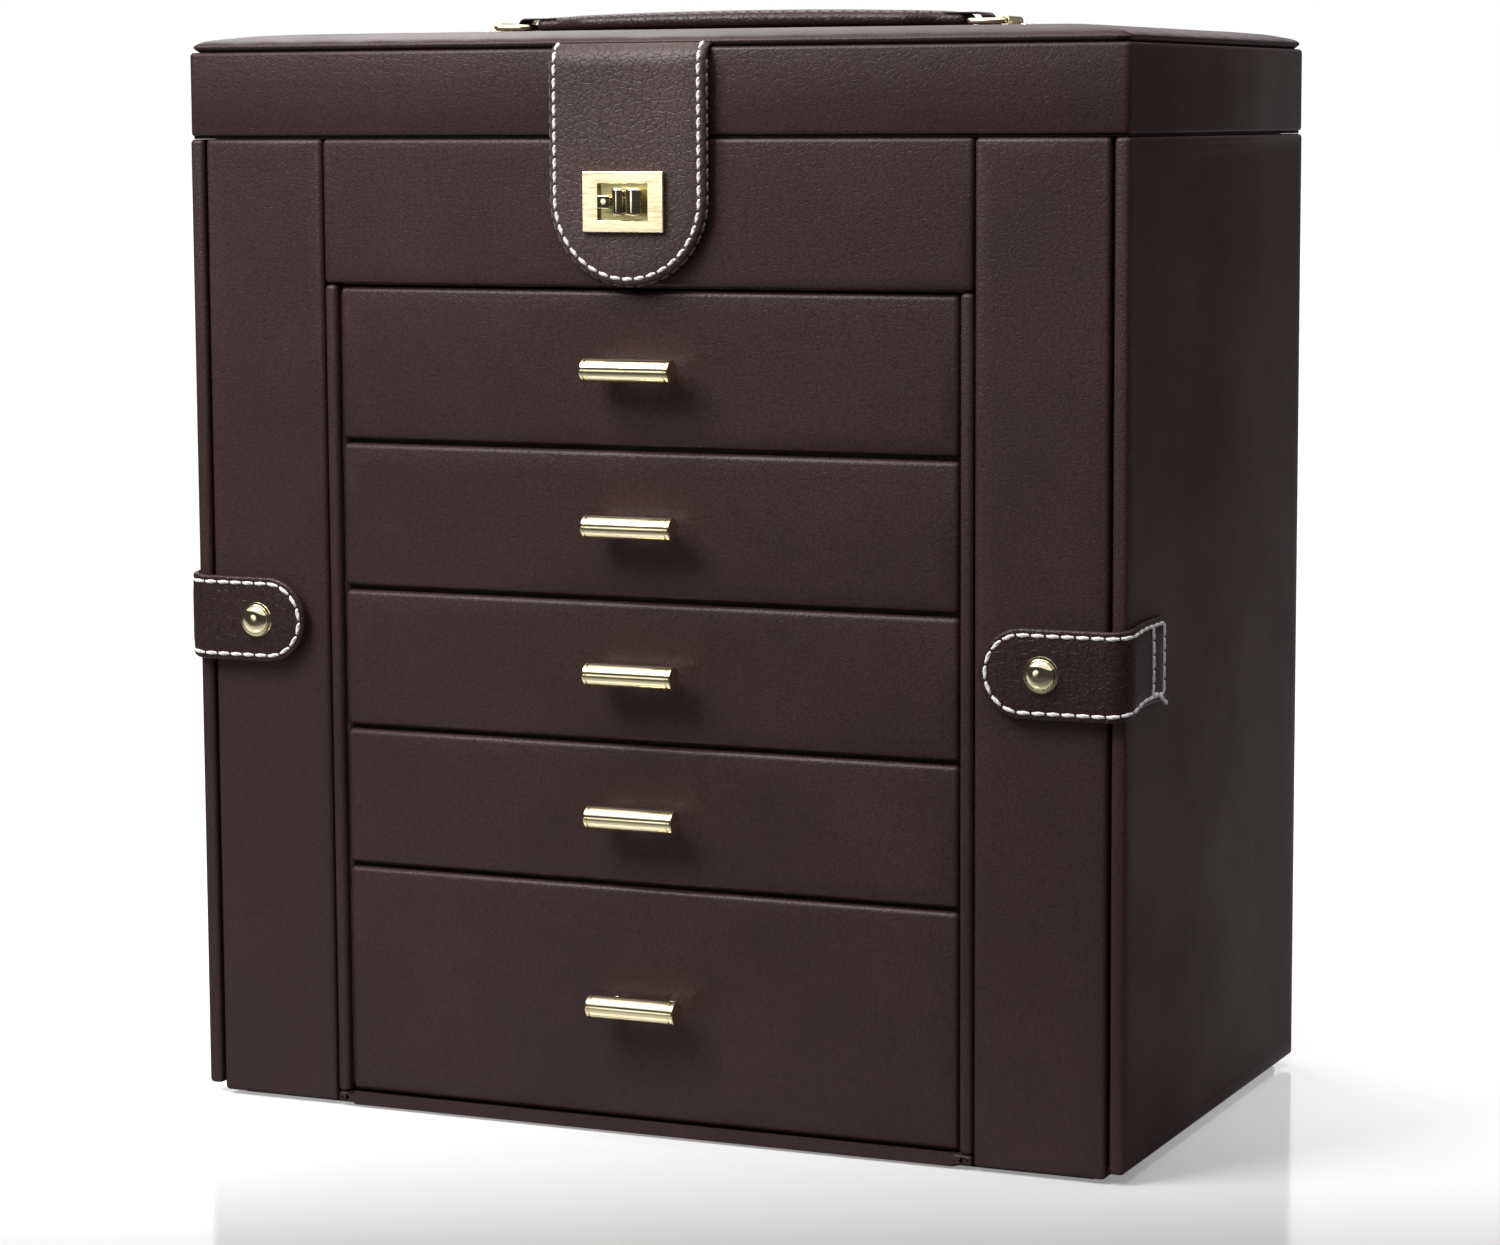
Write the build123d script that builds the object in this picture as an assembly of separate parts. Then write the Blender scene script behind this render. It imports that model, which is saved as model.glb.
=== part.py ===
from build123d import *
import math
import os

# A jewelry organizer covered in leatherette: a case with five drawers, a tray
# under a hinged lid, and two side doors that strap shut over hanging bays.
# Millimetres. X runs right, Y runs back and Z runs up. The origin is under
# the middle of the base, on the surface that the organizer stands on.

# The signs of the left and the right along X
left = -1
right = 1
both_sides = (left, right)
quarter_turn = 90.0

# Overall sizes and the boards of the case
case_width = 300.0
case_depth = 168.0
board_thickness = 5.0
stile_width = 40.0
carcass_side_thickness = 4.0
seam_gap = 0.4
edge_round = 1.3
fine_round = 0.6
felt_thickness = 1.2
felt_inset = 5.0
base_thickness = 3.2
shelf_thickness = 3.0
bay_top_thickness = 3.0

# Drawers, from the top one to the bottom one
drawer_pitches = (47.0, 44.5, 42.5, 42.5, 71.1)
drawer_divider_counts = (3, 2, 1, 0, 0)
drawer_front_thickness = 4.5
drawer_front_recess = 1.2
drawer_edge_gap = 0.6
drawer_side_clearance = 0.7
drawer_run_gap = 0.3
drawer_back_gap = 0.5
drawer_head_room = 6.0
drawer_wall = 3.0
drawer_floor_thickness = 2.5
drawer_divider_thickness = 2.0
drawer_divider_drop = 5.0
shelf_front_gap = 0.5

# Drawer pulls: a round bar on two posts with studs through the front
pull_length = 28.5
pull_radius = 3.5
pull_groove_depth = 0.45
pull_groove_width = 0.8
pull_end_length = 2.4
pull_end_round = 0.9
pull_standoff = 8.2
pull_post_spacing = 18.0
pull_post_radius = 2.0
pull_stud_radius = 1.4
fixed_fit = 0.05

# Top tray
tray_front_height = 43.0
tray_floor_thickness = 3.0
tray_divider_thickness = 2.4
tray_divider_height = 25.0
ring_zone_width = 70.0
ring_roll_count = 10
ring_roll_gap = 2.6
ring_roll_height = 23.0
ring_roll_end_gap = 0.6
tray_row_count = 3

# Side doors
door_thickness = 4.5
door_gap = 1.0
door_foot_gap = 3.0
door_head_gap = 0.6
hook_strip_length = 124.0
hook_strip_height = 10.0
hook_strip_thickness = 1.2
hook_strip_drop = 22.0
hook_count = 4
hook_spacing = 32.0
hook_wire_radius = 1.2
hook_reach = 9.0
hook_rise = 6.5
pocket_length = 110.0
pocket_height = 70.0
pocket_lift = 20.0
pocket_depth = 10.0
pocket_sheet = 1.2

# Hinges, all alike: brass butts screwed behind the case
hinge_length = 26.0
hinge_leaf_width = 12.0
door_leaf_width = 4.3
hinge_leaf_thickness = 1.2
hinge_barrel_radius = 2.2
hinge_offset = 2.5
hinge_knuckle_gap = 0.2
hinge_pin_radius = 1.0
hinge_pin_fit = 0.05
hinge_pin_head_radius = 1.7
hinge_pin_head_length = 0.8
lid_hinge_spacing = 190.0
door_hinge_foot_height = 60.0
door_hinge_head_drop = 60.0
door_axis_inset = 0.5

# Lid
lid_gap = 0.8
lid_height = 25.2
lid_wall = 4.5
lid_corner_round = 2.2
lid_board_thickness = 4.0
pad_crown = 5.8
pad_run = 35.0
pad_margin = 0.4
pad_corner_round = 3.0
pad_steps = 6
mirror_width = 210.0
mirror_depth = 110.0
mirror_thickness = 2.0
mirror_frame_width = 12.0
mirror_frame_thickness = 2.6
mirror_fit = 0.2

# Carrying handle on the lid: a padded strap between two folding rings
handle_strap_width = 20.0
handle_end_width = 12.0
handle_middle_thickness = 4.7
handle_end_thickness = 3.6
handle_middle_lift = 1.9
handle_end_lift = 0.6
handle_end_wall = 0.8
handle_neck_length = 8.0
handle_taper_length = 10.0
handle_travel = 6.4
ring_wire_radius = 0.9
ring_reach = 11.0
ring_spacing = 169.0
ring_half_width = 8.2
ring_axis_height = 2.2
ring_slot_clearance = 0.35
ring_slot_bias = 0.2
bracket_length = 10.5
bracket_half_width = 6.0
bracket_base_thickness = 0.8
bracket_barrel_radius = 1.6
ring_fit = 0.08

# Front flap with its turn knob and bolt
flap_width = 50.0
flap_length = 68.5
flap_shift = -1.2
flap_thickness = 4.4
flap_clearance = 0.5
flap_axis_drop = 2.4
clasp_rise = 24.3
clasp_shift = -0.4
plate_width = 26.0
plate_height = 17.5
plate_thickness = 1.0
plate_window_width = 16.2
plate_window_height = 11.8
knob_length = 14.0
knob_height = 8.0
knob_thickness = 3.4
knob_neck = 5.4
knob_spindle_radius = 2.6
knob_clearance = 0.3
spindle_fit = 0.1
bolt_radius = 1.6
bolt_length = 6.0
bolt_setback = 0.15
bolt_travel = 3.0
bolt_fit = 0.1
keeper_size = 14.0
keeper_thickness = 1.0
keeper_hole_radius = 2.2
keeper_hole_end_gap = 0.65

# Door straps: (reach over the front, snap from the corner, height) per side
left_strap = (39.1, 22.5, 150.0)
right_strap = (42.7, 23.9, 145.6)
strap_width = 26.0
strap_thickness = 2.2
strap_standoff = 1.9
strap_anchor_length = 29.5
strap_anchor_width = 24.0
strap_anchor_rise = 2.4
strap_root_gap = 0.3
snap_cap_radius = 5.35
snap_cap_height = 2.4
snap_post_radius = 1.2
snap_socket_radius = 4.5
snap_gap = 0.25
catch_radius = 5.0
catch_proud = 0.6
catch_shank_radius = 1.2
catch_shank_length = 3.0

# Places worked out from the sizes above
front_y = -case_depth / 2
back_y = case_depth / 2
door_outer_x = case_width / 2
door_inner_x = door_outer_x - door_thickness
frame_x = door_inner_x - door_gap
stile_inner_x = frame_x - stile_width
side_outer_x = stile_inner_x - seam_gap
side_inner_x = side_outer_x - carcass_side_thickness
inside_front_y = front_y + board_thickness
inside_back_y = back_y - board_thickness
base_top = felt_thickness + base_thickness
drawer_total = len(drawer_pitches)
drawer_lines = [base_top + sum(drawer_pitches[row:]) for row in range(drawer_total + 1)]
tray_bottom = drawer_lines[0]
tray_floor_top = tray_bottom + tray_floor_thickness
case_top = tray_bottom + seam_gap + tray_front_height
hinge_axis_y = back_y + hinge_offset
lid_axis_z = case_top + lid_gap / 2
lid_bottom = case_top + lid_gap
lid_seam = lid_bottom + lid_height
lid_board_bottom = lid_seam - lid_board_thickness
pad_top = lid_seam + pad_crown
door_axis_x = door_inner_x - door_axis_inset
door_bottom = door_foot_gap
door_top = case_top - door_head_gap
door_hinge_heights = (door_hinge_foot_height, case_top - door_hinge_head_drop)
flap_back_y = front_y - flap_clearance
flap_front_y = flap_back_y - flap_thickness
flap_axis_y = flap_back_y - flap_thickness / 2
flap_axis_z = lid_seam - flap_axis_drop
flap_bottom = lid_seam - flap_length
flap_round_z = flap_bottom + flap_width / 2
clasp_x = flap_shift + clasp_shift
clasp_z = flap_bottom + clasp_rise
plate_front_y = flap_front_y - plate_thickness
knob_back_y = plate_front_y - knob_clearance
knob_front_y = knob_back_y - knob_thickness
bolt_tip_y = flap_back_y - bolt_setback
keeper_hole_end_y = bolt_tip_y + bolt_travel + keeper_hole_end_gap
ring_axis_z = pad_top + ring_axis_height
ring_angle = math.asin(handle_travel / ring_reach)
ring_shift = ring_reach * (1 - math.cos(ring_angle))
ring_axis_x = ring_spacing / 2
ring_rest_x = ring_axis_x - ring_reach
strap_axis_x = door_outer_x + strap_thickness / 2
strap_back_y = front_y - strap_standoff
strap_front_y = strap_back_y - strap_thickness
strap_axis_y = strap_back_y - strap_thickness / 2
anchor_front_y = strap_axis_y + strap_thickness / 2 + strap_root_gap


def block(x_ends, y_ends, z_ends):
    """A square-edged board between two opposite corners."""
    ends = (x_ends, y_ends, z_ends)
    size = [abs(high - low) for low, high in ends]
    middle = [(low + high) / 2 for low, high in ends]
    return Pos(*middle) * Box(*size)


def soft_block(x_ends, y_ends, z_ends, rounding=edge_round):
    """A board with all its edges rounded, as leatherette rounds them."""
    ends = (x_ends, y_ends, z_ends)
    thinnest = min(abs(high - low) for low, high in ends)
    return fillet(block(*ends).edges(), min(rounding, thinnest / 3))


def rod(start, end, radius):
    """A round rod between the centres of its two ends."""
    start = Vector(*start)
    along = Vector(*end) - start
    upright = (Align.CENTER, Align.CENTER, Align.MIN)
    return Plane(origin=start, z_dir=along) * Cylinder(radius, along.length, align=upright)


def save(name, *solids):
    """Write one sub-part, a single solid or a group of like ones."""
    pieces = [piece for solid in solids for piece in solid.solids()]
    shape = pieces[0] if len(pieces) == 1 else Compound(children=pieces)
    export_step(shape, os.path.join("parts", name + ".step"))


def span(half):
    """The two ends of a length centred on zero."""
    return (-half, half)


# Case

def make_felt_base():
    """The felt sheet under the base board."""
    return block(span(frame_x - felt_inset), (front_y + felt_inset, back_y - felt_inset), (0, felt_thickness))


def make_base_board():
    """The bottom board, whose front lip shows between the stiles."""
    board = block(span(frame_x), (inside_front_y, inside_back_y), (felt_thickness, base_top))
    lip = block(span(side_outer_x), (front_y, inside_front_y), (felt_thickness, base_top))
    return board + lip


def make_back_panel():
    """The board across the back."""
    return soft_block(span(frame_x), (inside_back_y, back_y), (felt_thickness, case_top))


def strap_sizes(side):
    """Reach over the front, snap setback and height of the strap of a side."""
    return right_strap if side > 0 else left_strap


def make_stile(side):
    """A front stile, bored for the shank of its strap catch."""
    reach, snap_setback, height = strap_sizes(side)
    stile = soft_block(
        (side * stile_inner_x, side * frame_x), (front_y, inside_front_y), (felt_thickness, case_top)
    )
    snap_x = side * (door_outer_x - snap_setback)
    bore_depth = catch_shank_length + fixed_fit
    return stile - rod(
        (snap_x, front_y, height), (snap_x, front_y + bore_depth, height), catch_shank_radius + fixed_fit
    )


def make_strap_catch(side):
    """The thin steel disc on a stile that holds a snap."""
    reach, snap_setback, height = strap_sizes(side)
    snap_x = side * (door_outer_x - snap_setback)
    disc = rod((snap_x, front_y - catch_proud, height), (snap_x, front_y, height), catch_radius)
    shank = rod((snap_x, front_y, height), (snap_x, front_y + catch_shank_length, height), catch_shank_radius)
    return disc + shank


def make_carcass_side(side):
    """A side wall of the drawer stack, cut back for the tray's front panel."""
    wall = block((side * side_inner_x, side * side_outer_x), (front_y, inside_back_y), (base_top, case_top))
    notch = block(
        (side * side_inner_x, side * side_outer_x), (front_y, inside_front_y), (tray_bottom, case_top)
    )
    return wall - notch


def make_shelves():
    """The four shelves between the drawers."""
    shelf_front = front_y + drawer_front_recess + drawer_front_thickness + shelf_front_gap
    shelves = []
    for line in drawer_lines[1:-1]:
        half = shelf_thickness / 2
        shelves.append(block(span(side_inner_x), (shelf_front, inside_back_y), (line - half, line + half)))
    return shelves


def make_bay_top(side):
    """The board that closes the top of a side bay."""
    return block(
        (side * side_outer_x, side * frame_x),
        (inside_front_y, inside_back_y),
        (case_top - bay_top_thickness, case_top),
    )


# Tray under the lid

def make_tray_front_panel():
    """The front panel of the tray, with a recess for the keeper and its bolt hole."""
    panel = soft_block(span(side_outer_x), (front_y, inside_front_y), (tray_bottom + seam_gap, case_top))
    half = keeper_size / 2 + fixed_fit
    recess = block(
        (clasp_x - half, clasp_x + half),
        (front_y, front_y + keeper_thickness),
        (clasp_z - half, clasp_z + half),
    )
    hole = rod((clasp_x, front_y, clasp_z), (clasp_x, keeper_hole_end_y, clasp_z), keeper_hole_radius)
    return panel - recess - hole


def make_clasp_keeper():
    """The metal plate, flush in the tray's front, that takes the bolt."""
    half = keeper_size / 2
    keeper = block(
        (clasp_x - half, clasp_x + half),
        (front_y, front_y + keeper_thickness),
        (clasp_z - half, clasp_z + half),
    )
    hole_end = front_y + keeper_thickness
    return keeper - rod((clasp_x, front_y, clasp_z), (clasp_x, hole_end, clasp_z), keeper_hole_radius)


def make_tray_floor():
    """The floor of the tray, above the top drawer."""
    return block(span(side_inner_x), (inside_front_y, inside_back_y), (tray_bottom, tray_floor_top))


def tray_zone_edges():
    """X of the ring zone's right edge and of the rows' left edge."""
    ring_edge = -side_inner_x + ring_zone_width
    return ring_edge, ring_edge + tray_divider_thickness


def make_tray_dividers():
    """One divider from front to back, and cross dividers right of it."""
    ring_edge, row_edge = tray_zone_edges()
    heights = (tray_floor_top, tray_floor_top + tray_divider_height)
    dividers = [block((ring_edge, row_edge), (inside_front_y, inside_back_y), heights)]
    row_pitch = (inside_back_y - inside_front_y) / tray_row_count
    for row in range(1, tray_row_count):
        middle = inside_front_y + row * row_pitch
        half = tray_divider_thickness / 2
        dividers.append(block((row_edge, side_inner_x), (middle - half, middle + half), heights))
    return dividers


def make_ring_rolls():
    """The padded rolls, side by side, that grip rings between them."""
    ring_edge, row_edge = tray_zone_edges()
    roll_pitch = (inside_back_y - inside_front_y) / ring_roll_count
    radius = (roll_pitch - ring_roll_gap) / 2
    x_ends = (-side_inner_x + ring_roll_end_gap, ring_edge - ring_roll_end_gap)
    crown_z = tray_floor_top + ring_roll_height - radius
    rolls = []
    for row in range(ring_roll_count):
        middle = inside_front_y + (row + 0.5) * roll_pitch
        stem = block(x_ends, (middle - radius, middle + radius), (tray_floor_top, crown_z))
        crown = rod((x_ends[0], middle, crown_z), (x_ends[1], middle, crown_z), radius)
        rolls.append(stem + crown)
    return rolls


# Hinges, made with the pin's axis on X and the leaf flat against the face
# that lies hinge_offset in front of it

def hinge_knuckles(moving):
    """The spans along the hinge that belong to one leaf's knuckles."""
    third = hinge_length / 3
    half_gap = hinge_knuckle_gap / 2
    if moving:
        return [(-third / 2 + half_gap, third / 2 - half_gap)]
    return [(-hinge_length / 2, -third / 2 - half_gap), (third / 2 + half_gap, hinge_length / 2)]


def make_hinge_leaf(moving, width):
    """One leaf with its knuckles, cleared for the other leaf's."""
    side = 1 if moving else -1
    flat_y = (-hinge_offset, -hinge_offset + hinge_leaf_thickness)
    leaf = block(span(hinge_length / 2), flat_y, (side * hinge_knuckle_gap, side * width))
    clear_radius = hinge_barrel_radius + hinge_knuckle_gap
    for low, high in hinge_knuckles(not moving):
        low -= hinge_knuckle_gap
        high += hinge_knuckle_gap
        leaf -= rod((low, 0, 0), (high, 0, 0), clear_radius)
    for low, high in hinge_knuckles(moving):
        leaf += block((low, high), flat_y, (0, side * width))
        leaf += rod((low, 0, 0), (high, 0, 0), hinge_barrel_radius)
    half = hinge_length / 2
    return leaf - rod((-half, 0, 0), (half, 0, 0), hinge_pin_radius + hinge_pin_fit)


def make_hinge_pin():
    """The pin with a head at each end."""
    half = hinge_length / 2 + hinge_knuckle_gap
    head_end = half + hinge_pin_head_length
    pin = rod((-head_end, 0, 0), (head_end, 0, 0), hinge_pin_radius)
    pin += rod((-head_end, 0, 0), (-half, 0, 0), hinge_pin_head_radius)
    return pin + rod((half, 0, 0), (head_end, 0, 0), hinge_pin_head_radius)


def lid_hinge_places():
    """Where the lid's hinges sit."""
    return [Pos(side * lid_hinge_spacing / 2, hinge_axis_y, lid_axis_z) for side in both_sides]


def door_hinge_places(side):
    """Where a door's hinges sit, with the pin's axis turned upright."""
    upright = Rot(0, side * quarter_turn, 0)
    return [Pos(side * door_axis_x, hinge_axis_y, height) * upright for height in door_hinge_heights]


def make_case_hinge_leaves():
    """The six leaves on the back panel."""
    leaf = make_hinge_leaf(False, hinge_leaf_width)
    places = lid_hinge_places() + door_hinge_places(left) + door_hinge_places(right)
    return [place * leaf for place in places]


def make_hinge_pins():
    """The six hinge pins."""
    pin = make_hinge_pin()
    places = lid_hinge_places() + door_hinge_places(left) + door_hinge_places(right)
    return [place * pin for place in places]


def make_lid_hinge_leaves():
    """The two leaves on the back of the lid."""
    leaf = make_hinge_leaf(True, hinge_leaf_width)
    return [place * leaf for place in lid_hinge_places()]


def make_door_hinge_leaves(side):
    """The two narrow leaves on a door's back edge."""
    leaf = make_hinge_leaf(True, door_leaf_width)
    return [place * leaf for place in door_hinge_places(side)]


# Lid

def make_lid_frame():
    """The four walls of the lid, wrapped as one."""
    outer = block(span(door_outer_x), (front_y, back_y), (lid_bottom, lid_seam))
    outer = fillet(outer.edges().filter_by(Axis.Z), lid_corner_round)
    rims = outer.faces().sort_by(Axis.Z)
    outer = fillet(rims[0].edges() + rims[-1].edges(), fine_round)
    inner_x = door_outer_x - lid_wall
    return outer - block(span(inner_x), (front_y + lid_wall, back_y - lid_wall), (lid_bottom, lid_seam))


def make_lid_top_board():
    """The stiff board inside the lid's walls, under the pad."""
    inner_x = door_outer_x - lid_wall
    return block(span(inner_x), (front_y + lid_wall, back_y - lid_wall), (lid_board_bottom, lid_seam))


def make_lid_pad():
    """The padded top, which swells from its seam to a flat crown."""
    sections = []
    for step in range(pad_steps + 1):
        angle = math.radians(quarter_turn) * step / pad_steps
        inset = pad_margin + pad_run * (1 - math.cos(angle))
        height = lid_seam + pad_crown * math.sin(angle)
        outline = RectangleRounded(case_width - 2 * inset, case_depth - 2 * inset, pad_corner_round)
        sections.append(Pos(0, 0, height) * outline)
    return loft(sections, ruled=True)


def make_mirror():
    """The mirror under the lid."""
    heights = (lid_board_bottom - mirror_thickness, lid_board_bottom)
    return block(span(mirror_width / 2), span(mirror_depth / 2), heights)


def make_mirror_frame():
    """The padded frame round the mirror."""
    heights = (lid_board_bottom - mirror_frame_thickness, lid_board_bottom)
    hole_x = mirror_width / 2 + mirror_fit
    hole_y = mirror_depth / 2 + mirror_fit
    frame = soft_block(
        span(hole_x + mirror_frame_width), span(hole_y + mirror_frame_width), heights, fine_round
    )
    return frame - block(span(hole_x), span(hole_y), heights)


# Carrying handle

def make_handle_bracket(side):
    """A metal foot on the pad, with the barrel that a ring turns in."""
    start_x = ring_axis_x - bracket_barrel_radius
    base = block(
        (side * start_x, side * (start_x + bracket_length)),
        span(bracket_half_width),
        (pad_top, pad_top + bracket_base_thickness),
    )
    web = block(
        (side * start_x, side * (ring_axis_x + bracket_barrel_radius)),
        span(bracket_half_width),
        (pad_top, ring_axis_z),
    )
    axis_x = side * ring_axis_x
    ends = ((axis_x, -bracket_half_width, ring_axis_z), (axis_x, bracket_half_width, ring_axis_z))
    barrel = rod(*ends, bracket_barrel_radius)
    return base + web + barrel - rod(*ends, ring_wire_radius + ring_fit)


def make_handle_ring(side):
    """The flat wire ring that joins a bracket to the strap."""
    corners = [
        (side * ring_axis_x, -ring_half_width, ring_axis_z),
        (side * ring_axis_x, ring_half_width, ring_axis_z),
        (side * ring_rest_x, ring_half_width, ring_axis_z),
        (side * ring_rest_x, -ring_half_width, ring_axis_z),
    ]
    ring = None
    for number, corner in enumerate(corners):
        piece = rod(corner, corners[number - 1], ring_wire_radius)
        piece += Pos(*corner) * Sphere(ring_wire_radius)
        ring = piece if ring is None else ring + piece
    return ring


def make_handle_strap():
    """The padded strap, thickest at its middle, with a slot for each ring."""
    slot_outer = ring_rest_x + ring_shift + ring_wire_radius + ring_slot_clearance
    slot_inner = ring_rest_x - ring_wire_radius - ring_slot_clearance
    end_x = slot_outer + handle_end_wall
    end_low = pad_top + handle_end_lift
    end_high = end_low + handle_end_thickness
    middle_low = pad_top + handle_middle_lift
    middle_high = middle_low + handle_middle_thickness
    profile = Plane.XZ * make_face([
        ThreePointArc((-end_x, end_low), (0, middle_low), (end_x, end_low)),
        Line((end_x, end_low), (end_x, end_high)),
        ThreePointArc((end_x, end_high), (0, middle_high), (-end_x, end_high)),
        Line((-end_x, end_high), (-end_x, end_low)),
    ])
    strap = extrude(profile, handle_strap_width / 2, both=True)
    neck_x = slot_inner - handle_neck_length
    taper_x = neck_x - handle_taper_length
    half_end = handle_end_width / 2
    half_width = handle_strap_width / 2
    for side in both_sides:
        for edge in both_sides:
            waste = make_face(Polyline(
                (side * taper_x, edge * half_width),
                (side * neck_x, edge * half_end),
                (side * (end_x + handle_end_wall), edge * half_end),
                (side * (end_x + handle_end_wall), edge * (half_width + handle_end_wall)),
                (side * taper_x, edge * (half_width + handle_end_wall)),
                close=True,
            ))
            strap -= Pos(0, 0, pad_top) * extrude(waste, middle_high, both=True)
        half_slot = ring_wire_radius + ring_slot_clearance
        strap -= block(
            (side * slot_inner, side * slot_outer),
            span(half_end),
            (ring_axis_z - half_slot, ring_axis_z + half_slot + ring_slot_bias),
        )
    return strap


# Front flap and its clasp

def make_clasp_flap():
    """The padded flap, hung from the lid's seam, with a hole for the knob's spindle."""
    half = flap_width / 2
    x_ends = (flap_shift - half, flap_shift + half)
    flap = block(x_ends, (flap_front_y, flap_back_y), (flap_round_z, flap_axis_z))
    flap += rod((flap_shift, flap_front_y, flap_round_z), (flap_shift, flap_back_y, flap_round_z), half)
    flap += rod(
        (x_ends[0], flap_axis_y, flap_axis_z), (x_ends[1], flap_axis_y, flap_axis_z), flap_thickness / 2
    )
    return flap - rod(
        (clasp_x, flap_front_y, clasp_z), (clasp_x, flap_back_y, clasp_z), knob_spindle_radius + spindle_fit
    )


def make_clasp_plate():
    """The metal plate on the flap, with a window round the knob."""
    y_ends = (plate_front_y, flap_front_y)
    plate = block(
        (clasp_x - plate_width / 2, clasp_x + plate_width / 2),
        y_ends,
        (clasp_z - plate_height / 2, clasp_z + plate_height / 2),
    )
    plate = fillet(plate.edges().filter_by(Axis.Y), fine_round)
    return plate - block(
        (clasp_x - plate_window_width / 2, clasp_x + plate_window_width / 2),
        y_ends,
        (clasp_z - plate_window_height / 2, clasp_z + plate_window_height / 2),
    )


def make_clasp_knob():
    """The turn knob: two lobes on a hollow spindle."""
    lobe_radius = knob_height / 2
    lobe_x = knob_length / 2 - lobe_radius
    half_neck = knob_neck / 2
    knob = block(
        (clasp_x - lobe_x, clasp_x + lobe_x),
        (knob_front_y, knob_back_y),
        (clasp_z - half_neck, clasp_z + half_neck),
    )
    for side in both_sides:
        middle = clasp_x + side * lobe_x
        knob += rod((middle, knob_front_y, clasp_z), (middle, knob_back_y, clasp_z), lobe_radius)
    knob += rod((clasp_x, knob_back_y, clasp_z), (clasp_x, flap_back_y, clasp_z), knob_spindle_radius)
    bore_end = bolt_tip_y - bolt_length - knob_clearance
    return knob - rod((clasp_x, bore_end, clasp_z), (clasp_x, flap_back_y, clasp_z), bolt_radius + bolt_fit)


def make_clasp_bolt():
    """The bolt inside the spindle, drawn back at rest."""
    return rod((clasp_x, bolt_tip_y - bolt_length, clasp_z), (clasp_x, bolt_tip_y, clasp_z), bolt_radius)


# Drawers, numbered from the top

def drawer_box_ends(number):
    """The low and high Z of a drawer's box."""
    floor = drawer_lines[number + 1]
    ceiling = drawer_lines[number]
    if number < drawer_total - 1:
        floor += shelf_thickness / 2
    if number > 0:
        ceiling -= shelf_thickness / 2
    return floor + drawer_run_gap, ceiling - drawer_head_room


def drawer_depth_ends():
    """The Y of a drawer front's back face and of the box's back."""
    front_back_y = front_y + drawer_front_recess + drawer_front_thickness
    return front_back_y, inside_back_y - drawer_back_gap


def pull_stations(number):
    """The height of a drawer's pull and the X of its posts."""
    height = (drawer_lines[number] + drawer_lines[number + 1]) / 2
    return height, (-pull_post_spacing / 2, pull_post_spacing / 2)


def make_drawer_front(number):
    """A padded drawer front, bored for the studs of its pull."""
    front_back_y, box_back_y = drawer_depth_ends()
    front_face_y = front_y + drawer_front_recess
    front = soft_block(
        span(side_inner_x - drawer_edge_gap),
        (front_face_y, front_back_y),
        (drawer_lines[number + 1] + drawer_edge_gap, drawer_lines[number] - drawer_edge_gap),
    )
    height, posts = pull_stations(number)
    for post_x in posts:
        front -= rod(
            (post_x, front_face_y, height), (post_x, front_back_y, height), pull_stud_radius + fixed_fit
        )
    return front


def make_drawer_box(number):
    """The boards of a drawer's box: two sides, back, floor and dividers."""
    low, high = drawer_box_ends(number)
    box_front_y, box_back_y = drawer_depth_ends()
    outer_x = side_inner_x - drawer_side_clearance
    inner_x = outer_x - drawer_wall
    inner_back_y = box_back_y - drawer_wall
    floor_top = low + drawer_floor_thickness
    boards = [
        block((-outer_x, -inner_x), (box_front_y, box_back_y), (low, high)),
        block((inner_x, outer_x), (box_front_y, box_back_y), (low, high)),
        block(span(inner_x), (inner_back_y, box_back_y), (low, high)),
        block(span(inner_x), (box_front_y, inner_back_y), (low, floor_top)),
    ]
    count = drawer_divider_counts[number]
    pitch = 2 * inner_x / (count + 1)
    for place in range(1, count + 1):
        middle = -inner_x + place * pitch
        half = drawer_divider_thickness / 2
        heights = (floor_top, high - drawer_divider_drop)
        boards.append(block((middle - half, middle + half), (box_front_y, inner_back_y), heights))
    return boards


def make_drawer_pull(number):
    """A round bar with grooved ends, on two posts with studs."""
    height, posts = pull_stations(number)
    front_face_y = front_y + drawer_front_recess
    front_back_y = front_face_y + drawer_front_thickness
    bar_y = front_face_y - pull_standoff
    half = pull_length / 2
    bar = rod((-half, bar_y, height), (half, bar_y, height), pull_radius)
    bar = fillet(bar.edges().filter_by(GeomType.CIRCLE), pull_end_round)
    for side in both_sides:
        groove_outer = side * (half - pull_end_length)
        groove_inner = groove_outer - side * pull_groove_width
        ends = ((groove_inner, bar_y, height), (groove_outer, bar_y, height))
        bar -= rod(*ends, pull_radius + pull_groove_depth) - rod(*ends, pull_radius - pull_groove_depth)
    for post_x in posts:
        bar += rod((post_x, bar_y, height), (post_x, front_face_y, height), pull_post_radius)
        bar += rod((post_x, front_face_y, height), (post_x, front_back_y, height), pull_stud_radius)
    return bar


# Side doors with their hooks, pockets and straps

def make_door_panel(side):
    """A side door, the full height of the case."""
    return soft_block((side * door_inner_x, side * door_outer_x), (front_y, back_y), (door_bottom, door_top))


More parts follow.
